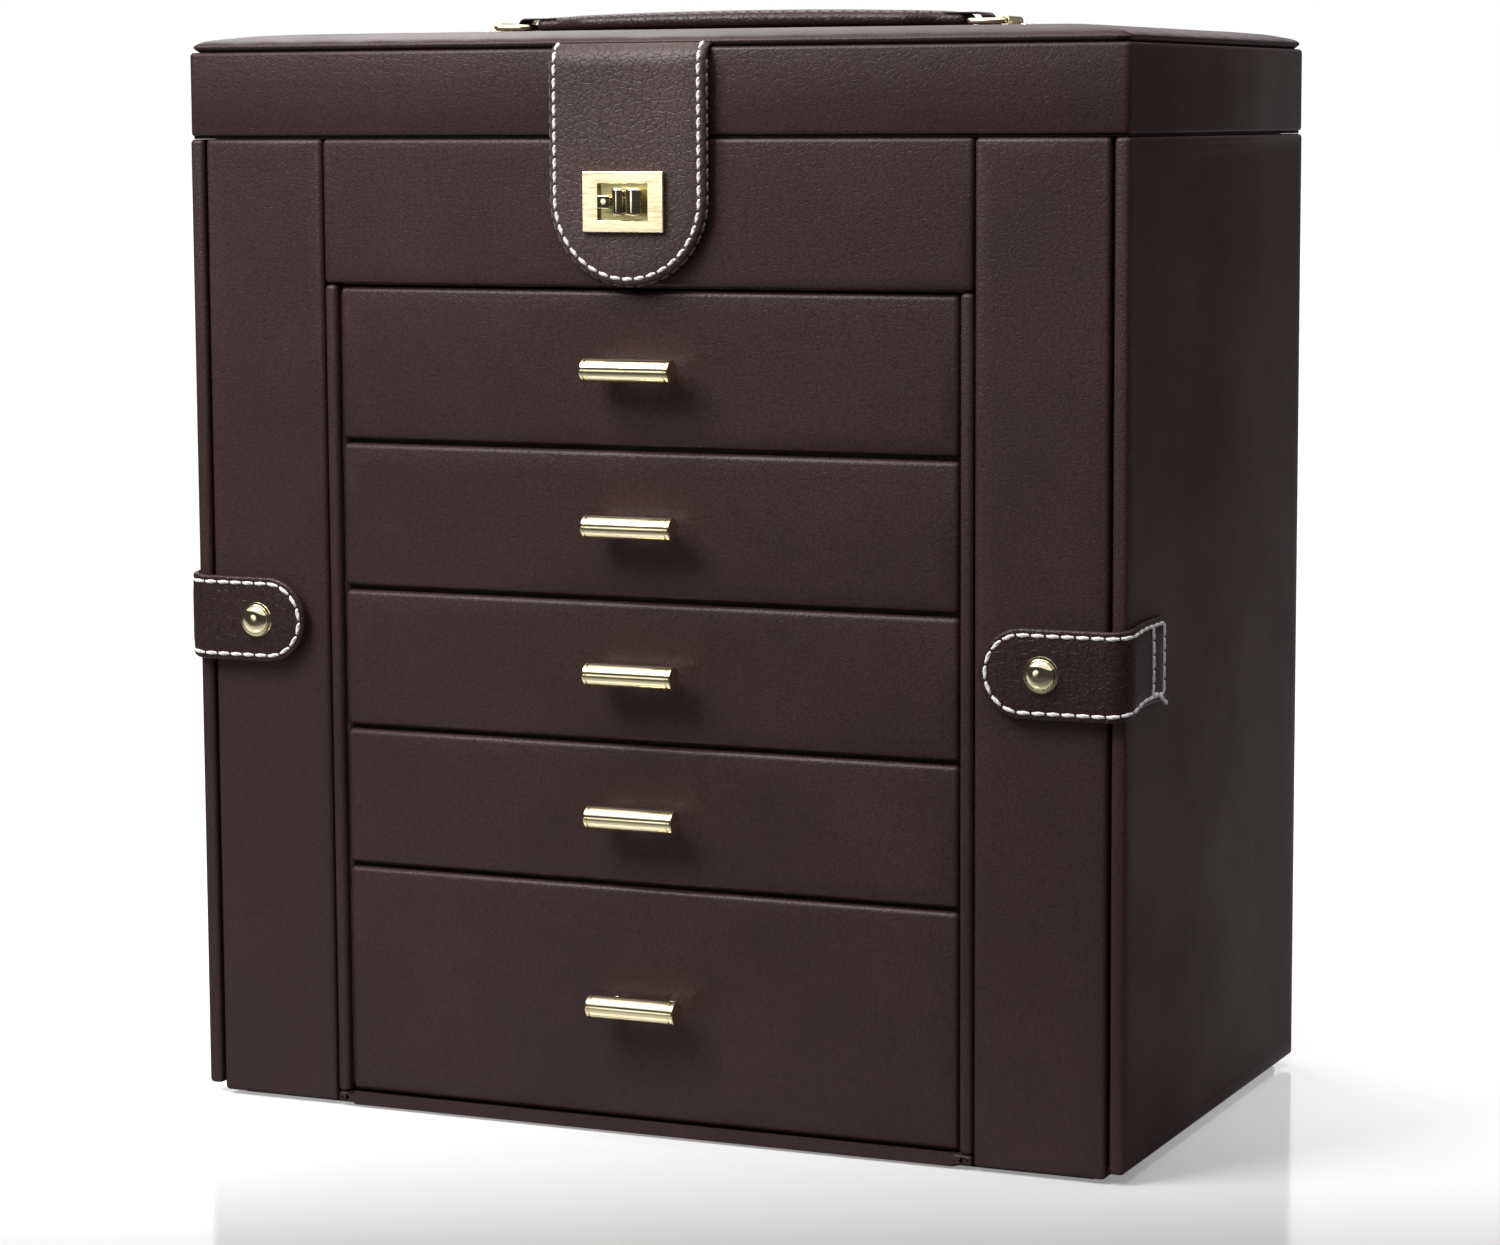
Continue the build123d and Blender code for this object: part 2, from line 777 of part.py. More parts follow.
def make_door_hooks(side):
    """A metal strip high on a door's inside, with upturned necklace hooks."""
    strip_top = door_top - hook_strip_drop
    strip_x = door_inner_x - hook_strip_thickness
    strip = block(
        (side * strip_x, side * door_inner_x),
        span(hook_strip_length / 2),
        (strip_top - hook_strip_height, strip_top),
    )
    pieces = [strip]
    peg_z = strip_top - hook_strip_height + 2 * hook_wire_radius
    tip_x = side * (strip_x - hook_reach)
    for number in range(hook_count):
        place = (number - (hook_count - 1) / 2) * hook_spacing
        peg = rod((side * strip_x, place, peg_z), (tip_x, place, peg_z), hook_wire_radius)
        rise = rod((tip_x, place, peg_z), (tip_x, place, peg_z + hook_rise), hook_wire_radius)
        pieces.append(peg + Pos(tip_x, place, peg_z) * Sphere(hook_wire_radius) + rise)
    return pieces


def make_door_pocket(side):
    """The sheets of the pocket low on a door's inside."""
    outer_x = door_inner_x - pocket_depth
    inner_x = outer_x + pocket_sheet
    half = pocket_length / 2
    low = door_bottom + pocket_lift
    high = low + pocket_height
    sheets = [
        block((side * outer_x, side * inner_x), span(half), (low, high)),
        block((side * inner_x, side * door_inner_x), span(half), (low, low + pocket_sheet)),
    ]
    for end in both_sides:
        y_ends = (end * half, end * (half - pocket_sheet))
        sheets.append(block((side * inner_x, side * door_inner_x), y_ends, (low + pocket_sheet, high)))
    return sheets


def make_strap_anchor(side):
    """The sewn-down half of a strap, a little higher on the door than its free half."""
    reach, snap_setback, height = strap_sizes(side)
    half = strap_anchor_width / 2
    middle = height + strap_anchor_rise
    return block(
        (side * door_outer_x, side * (door_outer_x + strap_thickness)),
        (anchor_front_y, front_y + strap_anchor_length),
        (middle - half, middle + half),
    )


def make_strap_tongue(side):
    """The free half of a strap, which closes over the stile."""
    reach, snap_setback, height = strap_sizes(side)
    half = strap_width / 2
    round_x = side * (door_outer_x - reach + half)
    axis_x = side * strap_axis_x
    y_ends = (strap_front_y, strap_back_y)
    tongue = block((round_x, axis_x), y_ends, (height - half, height + half))
    tongue += rod((round_x, strap_front_y, height), (round_x, strap_back_y, height), half)
    tongue += rod(
        (axis_x, strap_axis_y, height - half), (axis_x, strap_axis_y, height + half), strap_thickness / 2
    )
    snap_x = side * (door_outer_x - snap_setback)
    ends = ((snap_x, strap_front_y, height), (snap_x, strap_back_y, height))
    return tongue - rod(*ends, snap_post_radius + fixed_fit)


def make_strap_snap(side):
    """A snap: domed cap, post through the strap, and socket behind it."""
    reach, snap_setback, height = strap_sizes(side)
    snap_x = side * (door_outer_x - snap_setback)
    dome_radius = (snap_cap_radius ** 2 + snap_cap_height ** 2) / (2 * snap_cap_height)
    dome = Pos(snap_x, strap_front_y - snap_cap_height + dome_radius, height) * Sphere(dome_radius)
    cap = dome & rod(
        (snap_x, strap_front_y - snap_cap_height, height), (snap_x, strap_front_y, height), snap_cap_radius
    )
    post = rod((snap_x, strap_front_y, height), (snap_x, strap_back_y, height), snap_post_radius)
    socket_y = front_y - catch_proud - snap_gap
    socket = rod((snap_x, strap_back_y, height), (snap_x, socket_y, height), snap_socket_radius)
    return cap + post + socket


def save_case():
    """Write the case and what is fixed in it."""
    save("felt_base", make_felt_base())
    save("base_board", make_base_board())
    save("back_panel", make_back_panel())
    save("tray_front_panel", make_tray_front_panel())
    save("tray_floor", make_tray_floor())
    save("tray_dividers", *make_tray_dividers())
    save("ring_rolls", *make_ring_rolls())
    save("drawer_shelves", *make_shelves())
    save("bay_tops", *[make_bay_top(side) for side in both_sides])
    save("clasp_keeper", make_clasp_keeper())
    save("strap_catches", *[make_strap_catch(side) for side in both_sides])
    save("case_hinge_leaves", *make_case_hinge_leaves())
    save("hinge_pins", *make_hinge_pins())
    for name, side in zip(("left", "right"), both_sides):
        save(name + "_stile", make_stile(side))
        save(name + "_carcass_side", make_carcass_side(side))


def save_lid():
    """Write the lid, its handle and its flap."""
    save("lid_frame", make_lid_frame())
    save("lid_top_board", make_lid_top_board())
    save("lid_pad", make_lid_pad())
    save("mirror", make_mirror())
    save("mirror_frame", make_mirror_frame())
    save("lid_hinge_leaves", *make_lid_hinge_leaves())
    save("handle_brackets", *[make_handle_bracket(side) for side in both_sides])
    save("handle_strap", make_handle_strap())
    save("left_handle_ring", make_handle_ring(left))
    save("right_handle_ring", make_handle_ring(right))
    save("clasp_flap", make_clasp_flap())
    save("clasp_plate", make_clasp_plate())
    save("clasp_knob", make_clasp_knob())
    save("clasp_bolt", make_clasp_bolt())


def save_drawers():
    """Write the five drawers."""
    for number in range(drawer_total):
        name = "drawer_" + str(number + 1)
        save(name + "_front", make_drawer_front(number))
        save(name + "_box", *make_drawer_box(number))
        save(name + "_pull", make_drawer_pull(number))


def save_doors():
    """Write the doors and their straps."""
    for name, side in zip(("left", "right"), both_sides):
        save(name + "_door_panel", make_door_panel(side))
        save(name + "_door_hooks", *make_door_hooks(side))
        save(name + "_door_pocket", *make_door_pocket(side))
        save(name + "_door_hinge_leaves", *make_door_hinge_leaves(side))
        save(name + "_strap_anchor", make_strap_anchor(side))
        save(name + "_strap_tongue", make_strap_tongue(side))
        save(name + "_strap_snap", make_strap_snap(side))


save_case()
save_lid()
save_drawers()
save_doors()
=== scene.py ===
import math

import bmesh
import bpy
from mathutils import Matrix, Vector


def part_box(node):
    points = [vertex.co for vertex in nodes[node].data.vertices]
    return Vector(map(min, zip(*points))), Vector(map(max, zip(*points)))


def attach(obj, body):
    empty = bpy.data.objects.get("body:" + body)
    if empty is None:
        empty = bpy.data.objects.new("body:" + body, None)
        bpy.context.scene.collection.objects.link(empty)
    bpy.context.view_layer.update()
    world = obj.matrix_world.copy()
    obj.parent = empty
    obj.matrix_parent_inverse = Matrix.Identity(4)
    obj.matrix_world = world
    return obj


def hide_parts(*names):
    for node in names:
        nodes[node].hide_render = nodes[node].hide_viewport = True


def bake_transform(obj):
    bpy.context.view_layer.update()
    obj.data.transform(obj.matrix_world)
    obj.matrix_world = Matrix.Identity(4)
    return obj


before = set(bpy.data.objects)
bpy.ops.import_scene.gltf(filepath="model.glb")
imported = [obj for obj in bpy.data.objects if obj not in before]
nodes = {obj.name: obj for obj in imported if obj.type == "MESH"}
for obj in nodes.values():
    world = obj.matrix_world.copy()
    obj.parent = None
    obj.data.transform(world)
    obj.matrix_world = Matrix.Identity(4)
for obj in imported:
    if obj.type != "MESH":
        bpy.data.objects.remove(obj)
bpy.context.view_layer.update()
mm = 0.001

# Base felt
# A sheet of pressed dark felt, glued under the base board, so that the box
# slides without scratching the table.


def set_inputs(tree, node, inputs):
    """A node's inputs set to plain values or linked to sockets."""
    for name, value in inputs.items():
        if isinstance(value, bpy.types.NodeSocket):
            tree.links.new(value, node.inputs[name])
        else:
            node.inputs[name].default_value = value


def shader_node(tree, kind, inputs, **settings):
    """The outputs of a new shader node with its settings and inputs."""
    made = tree.nodes.new("ShaderNode" + kind)
    for name, value in settings.items():
        setattr(made, name, value)
    set_inputs(tree, made, inputs)
    return made.outputs


def maths(tree, operation, *values):
    """The result of one step of arithmetic."""
    return shader_node(tree, "Math", dict(enumerate(values)), operation=operation)[0]


def remap(tree, value, low, high, first=0, last=1, way="LINEAR"):
    """A value brought from one range to another."""
    ends = {"From Min": low, "From Max": high, "To Min": first, "To Max": last}
    return shader_node(tree, "MapRange", {"Value": value, **ends}, interpolation_type=way)[0]


def noise(tree, place, scale, detail, **more):
    """A cloudy pattern over the places on a surface."""
    return shader_node(tree, "TexNoise", {"Vector": place, "Scale": scale, "Detail": detail, **more})


def shade_between(tree, mask, dark, light):
    """A colour between two shades, by a mask."""
    return shader_node(tree, "Mix", {"Factor": mask, 6: (*dark, 1), 7: (*light, 1)}, data_type="RGBA")[2]


def object_place(tree):
    """Where a point is on the object, in metres."""
    return shader_node(tree, "TexCoord", {})["Object"]


def start_group(name, inputs, outputs):
    """An empty node group, with its inputs and its end."""
    group = bpy.data.node_groups.new(name, "ShaderNodeTree")
    for label in inputs:
        kind = "Vector" if label == "Vector" else "Float"
        group.interface.new_socket(name=label, in_out="INPUT", socket_type="NodeSocket" + kind)
    for label in outputs:
        group.interface.new_socket(name=label, in_out="OUTPUT", socket_type="NodeSocketFloat")
    return group, group.nodes.new("NodeGroupInput").outputs, group.nodes.new("NodeGroupOutput")


def place_group(tree, group, **inputs):
    """A node group placed in a material with its own values."""
    return shader_node(tree, "Group", {"Vector": object_place(tree), **inputs}, node_tree=group)


def start_material(name, slot, colour=None, **plain):
    """A material, its tree, and its Principled shader with the plain sockets set; the slot is not used."""
    material = bpy.data.materials.new(name)
    material.use_nodes = True
    tree = material.node_tree
    shader = tree.nodes["Principled BSDF"]
    if colour:
        plain["Base_Color"] = (*colour, 1)
    set_inputs(tree, shader, {socket.replace("_", " "): value for socket, value in plain.items()})
    return material, tree, shader


def roughen(tree, shader, height, depth):
    """Fine relief on a surface, from a height and the depth that it stands for."""
    bump = shader_node(tree, "Bump", {"Height": height, "Distance": depth, "Strength": 1})
    set_inputs(tree, shader, {"Normal": bump[0]})


nap, nap_in, nap_end = start_group("short_nap", ("Vector", "Fibre", "Patch"), ("Tone", "Height"))
nap_fibres = noise(nap, nap_in["Vector"], nap_in["Fibre"], 3, Roughness=0.7)["Fac"]
nap_patches = noise(nap, nap_in["Vector"], nap_in["Patch"], 3, Distortion=0.4)["Fac"]
nap_sum = maths(nap, "MULTIPLY_ADD", nap_patches, 0.45, nap_fibres)
set_inputs(nap, nap_end, {"Tone": remap(nap, nap_sum, 0.4, 1.05), "Height": nap_fibres})


def napped_cloth(name, slot, dark, light, fibre, patch, depth):
    """Felt or suede cloth, whose short nap lies in patches."""
    cloth, tree, shader = start_material(name, slot, Roughness=0.92, Sheen_Weight=0.35, Sheen_Roughness=0.4)
    pile = place_group(tree, nap, Fibre=fibre, Patch=patch)
    set_inputs(tree, shader, {"Base Color": shade_between(tree, pile["Tone"], dark, light)})
    roughen(tree, shader, pile["Height"], depth)
    return cloth


def choose(*pieces):
    """Out of edit mode, with only these pieces selected and the first one active."""
    if bpy.context.mode != "OBJECT":
        bpy.ops.object.mode_set(mode="OBJECT")
    bpy.ops.object.select_all(action="DESELECT")
    for piece in reversed(pieces):
        piece.select_set(True)
        bpy.context.view_layer.objects.active = piece


def paint(piece, material):
    """A piece that takes one material."""
    choose(piece)
    piece.data.materials.clear()
    piece.data.materials.append(material)
    return piece


felt = napped_cloth(
    "pressed_felt", "base_felt", (0.014, 0.011, 0.011), (0.035, 0.029, 0.028), 1600, 60, 0.3 * mm
)
felt_base = paint(nodes["felt_base"], felt)

# Case boards
# Fibre boards, each wrapped in brown leatherette that is pulled round the
# edges and glued. The face that shows is slightly domed.

leather, leather_in, leather_end = start_group(
    "leather_skin", ("Vector", "Pebbles", "Creases"), ("Tone", "Gloss", "Height")
)
grain_drift = [1.4 * mm] * 3
leather_drift = noise(leather, leather_in["Vector"], 240, 2)["Color"]
leather_warp = shader_node(
    leather, "VectorMath", {0: leather_drift, 1: grain_drift, 2: leather_in["Vector"]},
    operation="MULTIPLY_ADD",
)[0]
leather_pebbles = shader_node(
    leather, "TexVoronoi", {"Vector": leather_warp, "Scale": leather_in["Pebbles"], "Smoothness": 0.5},
    feature="SMOOTH_F1",
)["Distance"]
leather_creases = shader_node(
    leather, "TexVoronoi", {"Vector": leather_warp, "Scale": leather_in["Creases"]},
    feature="DISTANCE_TO_EDGE",
)["Distance"]
leather_lines = remap(leather, leather_creases, 0, 0.09, 1, 0, "SMOOTHSTEP")
leather_dips = maths(leather, "MULTIPLY_ADD", leather_lines, 0.55, leather_pebbles)
leather_height = maths(leather, "SUBTRACT", 1, leather_dips)
leather_clouds = noise(leather, leather_in["Vector"], 22, 5, Roughness=0.6)["Fac"]
leather_tone = maths(leather, "MULTIPLY_ADD", leather_height, 0.45, leather_clouds)
set_inputs(leather, leather_end, {
    "Tone": remap(leather, leather_tone, 0.45, 1.05),
    "Gloss": remap(leather, leather_clouds, 0.3, 0.7),
    "Height": leather_height,
})


def leatherette(name, dark, light, pebbles, depth, matt, glossy):
    """Fine-grained leatherette, darker in its grain, with a roughness that drifts."""
    skin, tree, shader = start_material(name, "brown_leatherette")
    glance = shader_node(tree, "LayerWeight", {"Blend": 0.5})["Facing"]
    middle_shine = remap(tree, glance, 0.15, 0.6, 0.26, 0.05)
    shine = maths(tree, "ADD", middle_shine, remap(tree, glance, 0.7, 0.92, 0, 0.4))
    grain = place_group(tree, leather, Pebbles=pebbles, Creases=pebbles * 0.36)
    set_inputs(tree, shader, {
        "Specular IOR Level": shine,
        "Base Color": shade_between(tree, grain["Tone"], dark, light),
        "Roughness": remap(tree, grain["Gloss"], 0, 1, matt, glossy),
    })
    roughen(tree, shader, grain["Height"], depth)
    return skin


def start_box(name, low, high):
    """A cube added at a board's middle and scaled to its size."""
    low, high = Vector(low), Vector(high)
    choose()
    bpy.ops.mesh.primitive_cube_add(size=1, location=(low + high) / 2)
    piece = bpy.context.object
    piece.name = name
    piece.scale = high - low
    bpy.ops.object.transform_apply()
    return piece


def pick(piece, kind, wanted=lambda element: True):
    """In edit mode, only the verts, edges or faces that are wanted are selected."""
    if piece.mode != "EDIT":
        choose(piece)
        bpy.ops.object.mode_set(mode="EDIT")
    bpy.context.tool_settings.mesh_select_mode = [kind == each for each in ("verts", "edges", "faces")]
    bpy.ops.mesh.select_all(action="DESELECT")
    mesh = bmesh.from_edit_mesh(piece.data)
    for element in getattr(mesh, kind):
        if wanted(element):
            element.select_set(True)
    mesh.select_flush_mode()
    bmesh.update_edit_mesh(piece.data)


def round_edges(piece, rounding, segments=4, wanted=lambda edge: True):
    """The picked edges rounded."""
    pick(piece, "edges", wanted)
    bpy.ops.mesh.bevel(offset=rounding, segments=segments, profile=0.5, affect="EDGES")


def finish_piece(piece, body, *stands_for, smooth=50, flat_faces=False):
    """The shaped piece is shaded, rides on its body and stands for its nodes."""
    choose(piece)
    bpy.ops.object.shade_smooth_by_angle(angle=math.radians(smooth))
    if flat_faces:
        bpy.ops.object.modifier_add(type="WEIGHTED_NORMAL")
        piece.modifiers[-1].keep_sharp = True
        bpy.ops.object.modifier_apply(modifier=piece.modifiers[-1].name)
    if stands_for:
        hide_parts(*stands_for)
    if body:
        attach(piece, body)


def pick_facing(piece, outward, least_area):
    """The faces that look one way and are larger than an area."""
    outward = Vector(outward)
    pick(piece, "faces", lambda face: face.normal.dot(outward) > 0.99 and face.calc_area() > least_area)


def pad_face(piece, outward, swell, border=1.6 * mm):
    """A broad face set in from its edges and raised a little, as its wrapping lifts it."""
    choose(piece)
    pick_facing(piece, outward, 0.2 * max(polygon.area for polygon in piece.data.polygons))
    bpy.ops.mesh.inset(thickness=border, depth=swell * 0.7)
    bpy.ops.mesh.inset(thickness=border * 2, depth=swell * 0.3)


def wrapped_board(name, ends, outward=None, rounding=1.4 * mm, swell=0.28 * mm):
    """A leatherette board with rounded edges and, on its outward face, a slight dome."""
    board = paint(start_box(name, *ends), brown_leatherette)
    round_edges(board, min(rounding, min(board.dimensions) * 0.42))
    if outward:
        pad_face(board, outward, swell)
    return board


brown_leatherette = leatherette(
    "brown_leatherette", (0.034, 0.0155, 0.016), (0.057, 0.0275, 0.028), 1250, 0.055 * mm, 0.48, 0.38
)
beige_suede = napped_cloth(
    "beige_suede", "beige_suede", (0.40, 0.31, 0.215), (0.55, 0.445, 0.325), 1500, 45, 0.25 * mm
)
left_way, right_way = (-1, 0, 0), (1, 0, 0)
front_way, back_way, up_way = (0, -1, 0), (0, 1, 0), (0, 0, 1)
hem = 1 * mm


def line_board(board, outward, border=hem):
    """A broad face of a board is lined with suede inside a border, let in by the cloth's thickness."""
    choose(board)
    facing = Vector(outward)
    broad = max(polygon.area for polygon in board.data.polygons if polygon.normal.dot(facing) > 0.99)
    pick_facing(board, outward, 0.9 * broad)
    bpy.ops.mesh.inset(thickness=border)
    if len(board.data.materials) == 1:
        board.data.materials.append(beige_suede)
    board.active_material_index = 1
    bpy.ops.object.material_slot_assign()
    bpy.ops.mesh.inset(thickness=0.02 * mm, depth=-0.15 * mm)


def lined_board(name, node, body, outward, inward, border=hem, *shape):
    """A whole board: wrapped, domed on one face, lined on the other, and standing for its node."""
    board = wrapped_board(name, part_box(node), outward, *shape)
    line_board(board, inward, border)
    finish_piece(board, body, node)


for side in ("left", "right"):
    lined_board(side + "_stile_cover", side + "_stile", "case", front_way, back_way)
lined_board("back_cover", "back_panel", "case", back_way, front_way)


def carve(piece, cutter):
    """A cutter's shape taken out of a piece."""
    choose(piece)
    cut = piece.modifiers.new("cut", "BOOLEAN")
    cut.object = cutter
    bpy.ops.object.modifier_apply(modifier=cut.name)
    bpy.data.objects.remove(cutter)


tray_front = wrapped_board("tray_front_cover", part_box("tray_front_panel"), front_way)
line_board(tray_front, back_way, 2 * mm)
keeper_low, keeper_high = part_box("clasp_keeper")
recess_gap = 0.15 * mm
recess_room = Vector((recess_gap, 1 * mm, recess_gap))
recess_back = keeper_high + Vector((recess_gap, 0, recess_gap))
carve(tray_front, start_box("cutter", keeper_low - recess_room, recess_back))
bolt_hole_radius = 2.2 * mm
bolt_hole_end = -80.7 * mm
bolt_hole_middle = (keeper_low + keeper_high) / 2
bolt_hole_middle.y = (keeper_low.y + bolt_hole_end) / 2
bpy.ops.mesh.primitive_cylinder_add(
    vertices=32, radius=bolt_hole_radius, depth=bolt_hole_end - keeper_low.y,
    location=bolt_hole_middle, rotation=(math.pi / 2, 0, 0),
)
carve(tray_front, bpy.context.object)
finish_piece(tray_front, "case", "tray_front_panel")

base_low, base_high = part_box("base_board")
wall_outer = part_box("right_carcass_side")[1].x
lip_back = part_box("right_stile")[1].y
lip_ends = (-wall_outer, base_low.y, base_low.z), (wall_outer, lip_back, base_high.z)
finish_piece(wrapped_board("base_lip", lip_ends, front_way, 1.2 * mm, 0.1 * mm), "case")
base = wrapped_board("base_cover", ((base_low.x, lip_back, base_low.z), base_high))
line_board(base, up_way)
finish_piece(base, "case", "base_board")

# Side walls of the drawer stack
# Wrapped boards whose front edges show beside the drawers. Above the drawers
# they are cut back, so that the front panel of the tray covers them.

notch_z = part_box("tray_front_panel")[0].z - 0.4 * mm
for side in ("left", "right"):
    low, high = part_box(side + "_carcass_side")
    lower_wall = wrapped_board(side + "_drawer_wall", (low, (high.x, high.y, notch_z)))
    upper_wall = wrapped_board(side + "_tray_wall", ((low.x, lip_back, notch_z), high), rounding=0.5 * mm)
    for wall in (lower_wall, upper_wall):
        line_board(wall, right_way, 1.5 * mm)
        line_board(wall, left_way, 1.5 * mm)
    finish_piece(lower_wall, "case", side + "_carcass_side")
    finish_piece(upper_wall, "case")

# Case rim
# A low frame of wrapped strips on top of the case. The lid's walls close round
# it, and it covers the gap under them.

lid_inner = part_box("lid_top_board")[1]
rim_half = Vector((lid_inner.x - 1.1 * mm, lid_inner.y - 0.6 * mm))
rim_width = 2.2 * mm
rim_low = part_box("bay_tops")[1].z
rim_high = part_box("lid_frame")[0].z + 2.4 * mm
rim_reach = 6 * mm
tray_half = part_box("tray_floor")[1].x - 0.2 * mm


def join_pieces(name, pieces):
    """Several meshes as one object."""
    choose(*pieces)
    bpy.ops.object.join()
    pieces[0].name = name
    return pieces[0]


def is_sharp(edge):
    """Whether an edge is a clear corner."""
    return edge.calc_face_angle(0) > 1


def start_frame(name, half, low_z, high_z, width):
    """A flat frame of one width round the middle of the case."""
    strip = start_box(name, (*-half, low_z), (*half, high_z))
    pick(strip, "faces", lambda face: abs(face.normal.z) > 0.9)
    bpy.ops.mesh.inset(thickness=width)
    bpy.ops.mesh.bridge_edge_loops()
    return strip


rim = start_frame("case_rim_cover", rim_half, rim_low, rim_high, rim_width)
round_edges(rim, 0.6 * mm, 3, is_sharp)
rim_strips = [rim]
for strip_y in (-rim_half.y, rim_half.y - rim_width):
    strip_ends = (-tray_half, strip_y, rim_low - rim_reach), (tray_half, strip_y + rim_width, rim_low)
    rim_strips.append(wrapped_board("rim_strip", strip_ends, rounding=0.3 * mm))
finish_piece(paint(join_pieces("case_rim_cover", rim_strips), brown_leatherette), "case")

# Shelves and bay tops
# Thin boards between the drawers and over the side bays, covered in suede cloth
# and in leatherette.

paint(nodes["drawer_shelves"], brown_leatherette)
paint(nodes["tray_floor"], beige_suede)
paint(nodes["bay_tops"], brown_leatherette)

# Side doors
# A wrapped board on each side, the full height of the case, hinged behind.
# Inside it is lined with suede.

sides = (("left", -1), ("right", 1))
for side, x_way in sides:
    low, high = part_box(side + "_door_panel")
    high.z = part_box("right_stile")[1].z
    panel = wrapped_board(side + "_door_cover", (low, high), (x_way, 0, 0), 1.3 * mm)
    line_board(panel, (-x_way, 0, 0), 3 * mm)
    finish_piece(panel, side + "_door", side + "_door_panel")

# Drawer fronts
# Wrapped boards with a soft swell, each a little behind the frame round it.
# The face towards the drawer is lined with suede.

for number in range(1, 6):
    node = f"drawer_{number}_front"
    lined_board(node + "_cover", node, f"drawer_{number}", front_way, back_way, hem, 1.8 * mm, 0.5 * mm)

# Lid walls
# Four boards joined into a frame and wrapped in one band of leatherette, with
# tight corners. The top board closes it inside.

lid_low, lid_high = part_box("lid_frame")
lid_wall = 4.5 * mm
wall_rounding = 1.1 * mm
near = 0.01 * mm


def span(edge, axis):
    """How far an edge runs along an axis."""
    return abs(edge.verts[0].co[axis] - edge.verts[1].co[axis])


def is_rim(edge):
    """Whether an edge lies level round the top or the underside of the lid's walls."""
    z = edge.verts[0].co.z
    return span(edge, 2) < near and min(abs(z - lid_low.z), abs(z - lid_high.z)) < near


lid = start_box("lid_walls", lid_low, lid_high)
round_edges(lid, 1.9 * mm, 4, lambda edge: span(edge, 2) > 1 * mm)
round_edges(lid, wall_rounding, 3, is_rim)
pick(lid, "faces", lambda face: face.calc_center_median().z < lid_low.z + near)
bpy.ops.mesh.inset(thickness=lid_wall - wall_rounding)
for corner_x in (lid_wall - lid_high.x, lid_high.x - lid_wall):
    for corner_y in (lid_wall - lid_high.y, lid_high.y - lid_wall):
        pick(
            lid, "verts",
            lambda vertex: vertex.co.z < lid_low.z + near
            and math.hypot(vertex.co.x - corner_x, vertex.co.y - corner_y) < 3 * mm
            and abs(vertex.co.x) < abs(corner_x) + 1.8 * mm,
        )
        bpy.ops.transform.resize(value=(0, 0, 1), center_override=(corner_x, corner_y, lid_low.z))
        bpy.ops.mesh.remove_doubles(threshold=near)
pick(
    lid, "faces",
    lambda face: face.calc_center_median().z < lid_low.z + near
    and face.calc_area() > lid_high.x * lid_high.y,
)
inner_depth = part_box("lid_top_board")[0].z - lid_low.z
bpy.ops.mesh.extrude_region_move(TRANSFORM_OT_translate={"value": (0, 0, inner_depth)})
for outward in (right_way, left_way, back_way, front_way):
    pad_face(lid, outward, 0.16 * mm)
lid.data.materials.append(brown_leatherette)
lid.data.materials.append(beige_suede)


def in_lid(face):
    """Whether a face of the lid lies inside its walls, under the board."""
    place = face.calc_center_median()
    inside_walls = abs(place.x) < lid_high.x - lid_wall + near and abs(place.y) < lid_high.y - lid_wall + near
    return inside_walls and lid_low.z + 1 * mm < place.z < lid_high.z - 1 * mm


pick(lid, "faces", in_lid)
lid.active_material_index = 1
bpy.ops.object.material_slot_assign()
finish_piece(lid, "lid", "lid_frame", "lid_top_board")

# A near-black strip under the lid's walls, in the gap between lid and case: painted shade, so that the gap
# shows as a dark shadow line.
strip_half = Vector((lid_high.x - 1 * mm, lid_high.y - 1 * mm))
strip_width = lid_wall - 1.2 * mm
strip_low, strip_high = lid_low.z - 0.7 * mm, lid_low.z + 0.05 * mm
lid_strip = start_frame("lid_edge_strip", strip_half, strip_low, strip_high, strip_width)
round_edges(lid_strip, 0.15 * mm, 2, is_sharp)
gap_shade_black, _, _ = start_material(
    "gap_shade_black", "brown_leatherette", (0.010, 0.006, 0.006), Roughness=0.7, Specular_IOR_Level=0.1
)
finish_piece(paint(lid_strip, gap_shade_black), "lid")

# Lid pad
# Foam under leatherette on the lid's top, its edge tucked into a seam all round.
# The crown rises steeply from the seam and is nearly flat in the middle.

pad_low, pad_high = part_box("lid_pad")
pad_half = (pad_high - pad_low).xy / 2
pad_edge = 1.5 * mm
pad_crown = pad_high.z - pad_low.z - pad_edge
pad_run = 35 * mm
pad_corner = 3 * mm


def smooth_step(value, low, high):
    """From 0 to 1 as the value goes from low to high, eased at both ends."""
    share = min(max((value - low) / (high - low), 0), 1)
    return share * share * (3 - 2 * share)


def over_corner(x, y):
    """How far a point lies past the middle of the nearest rounded corner, each way."""
    return Vector((max(abs(x) - pad_half.x + pad_corner, 0), max(abs(y) - pad_half.y + pad_corner, 0)))


def pad_height(x, y):
    """The pad's height over its seam: steep at the edge, then a flat crown."""
    corner = over_corner(x, y)
    inset = pad_corner - corner.length
    if corner.x == 0 or corner.y == 0:
        inset = min(pad_half.x - abs(x), pad_half.y - abs(y))
    share = min(max(inset / pad_run, 0), 1)
    pucker = 0.12 * mm * math.sin((x + y) * 330) * math.exp(-inset / (9 * mm))
    return pad_crown * math.sqrt(1 - (1 - share) ** 2) + pucker * smooth_step(inset, 0, 1.5 * mm)


def eased_stops(count, half, edge):
    """Stops from -half to half, closer together near both ends."""
    shares = [2 * step / count - 1 for step in range(count + 1)]
    return [half * ((1 - edge) * share + edge * math.sin(share * math.pi / 2)) for share in shares]


def start_grid(name, columns, rows):
    """A flat grid, 2 m square, to be shaped."""
    choose()
    bpy.ops.mesh.primitive_grid_add(x_subdivisions=columns, y_subdivisions=rows, size=2)
    bpy.context.object.name = name
    return bpy.context.object


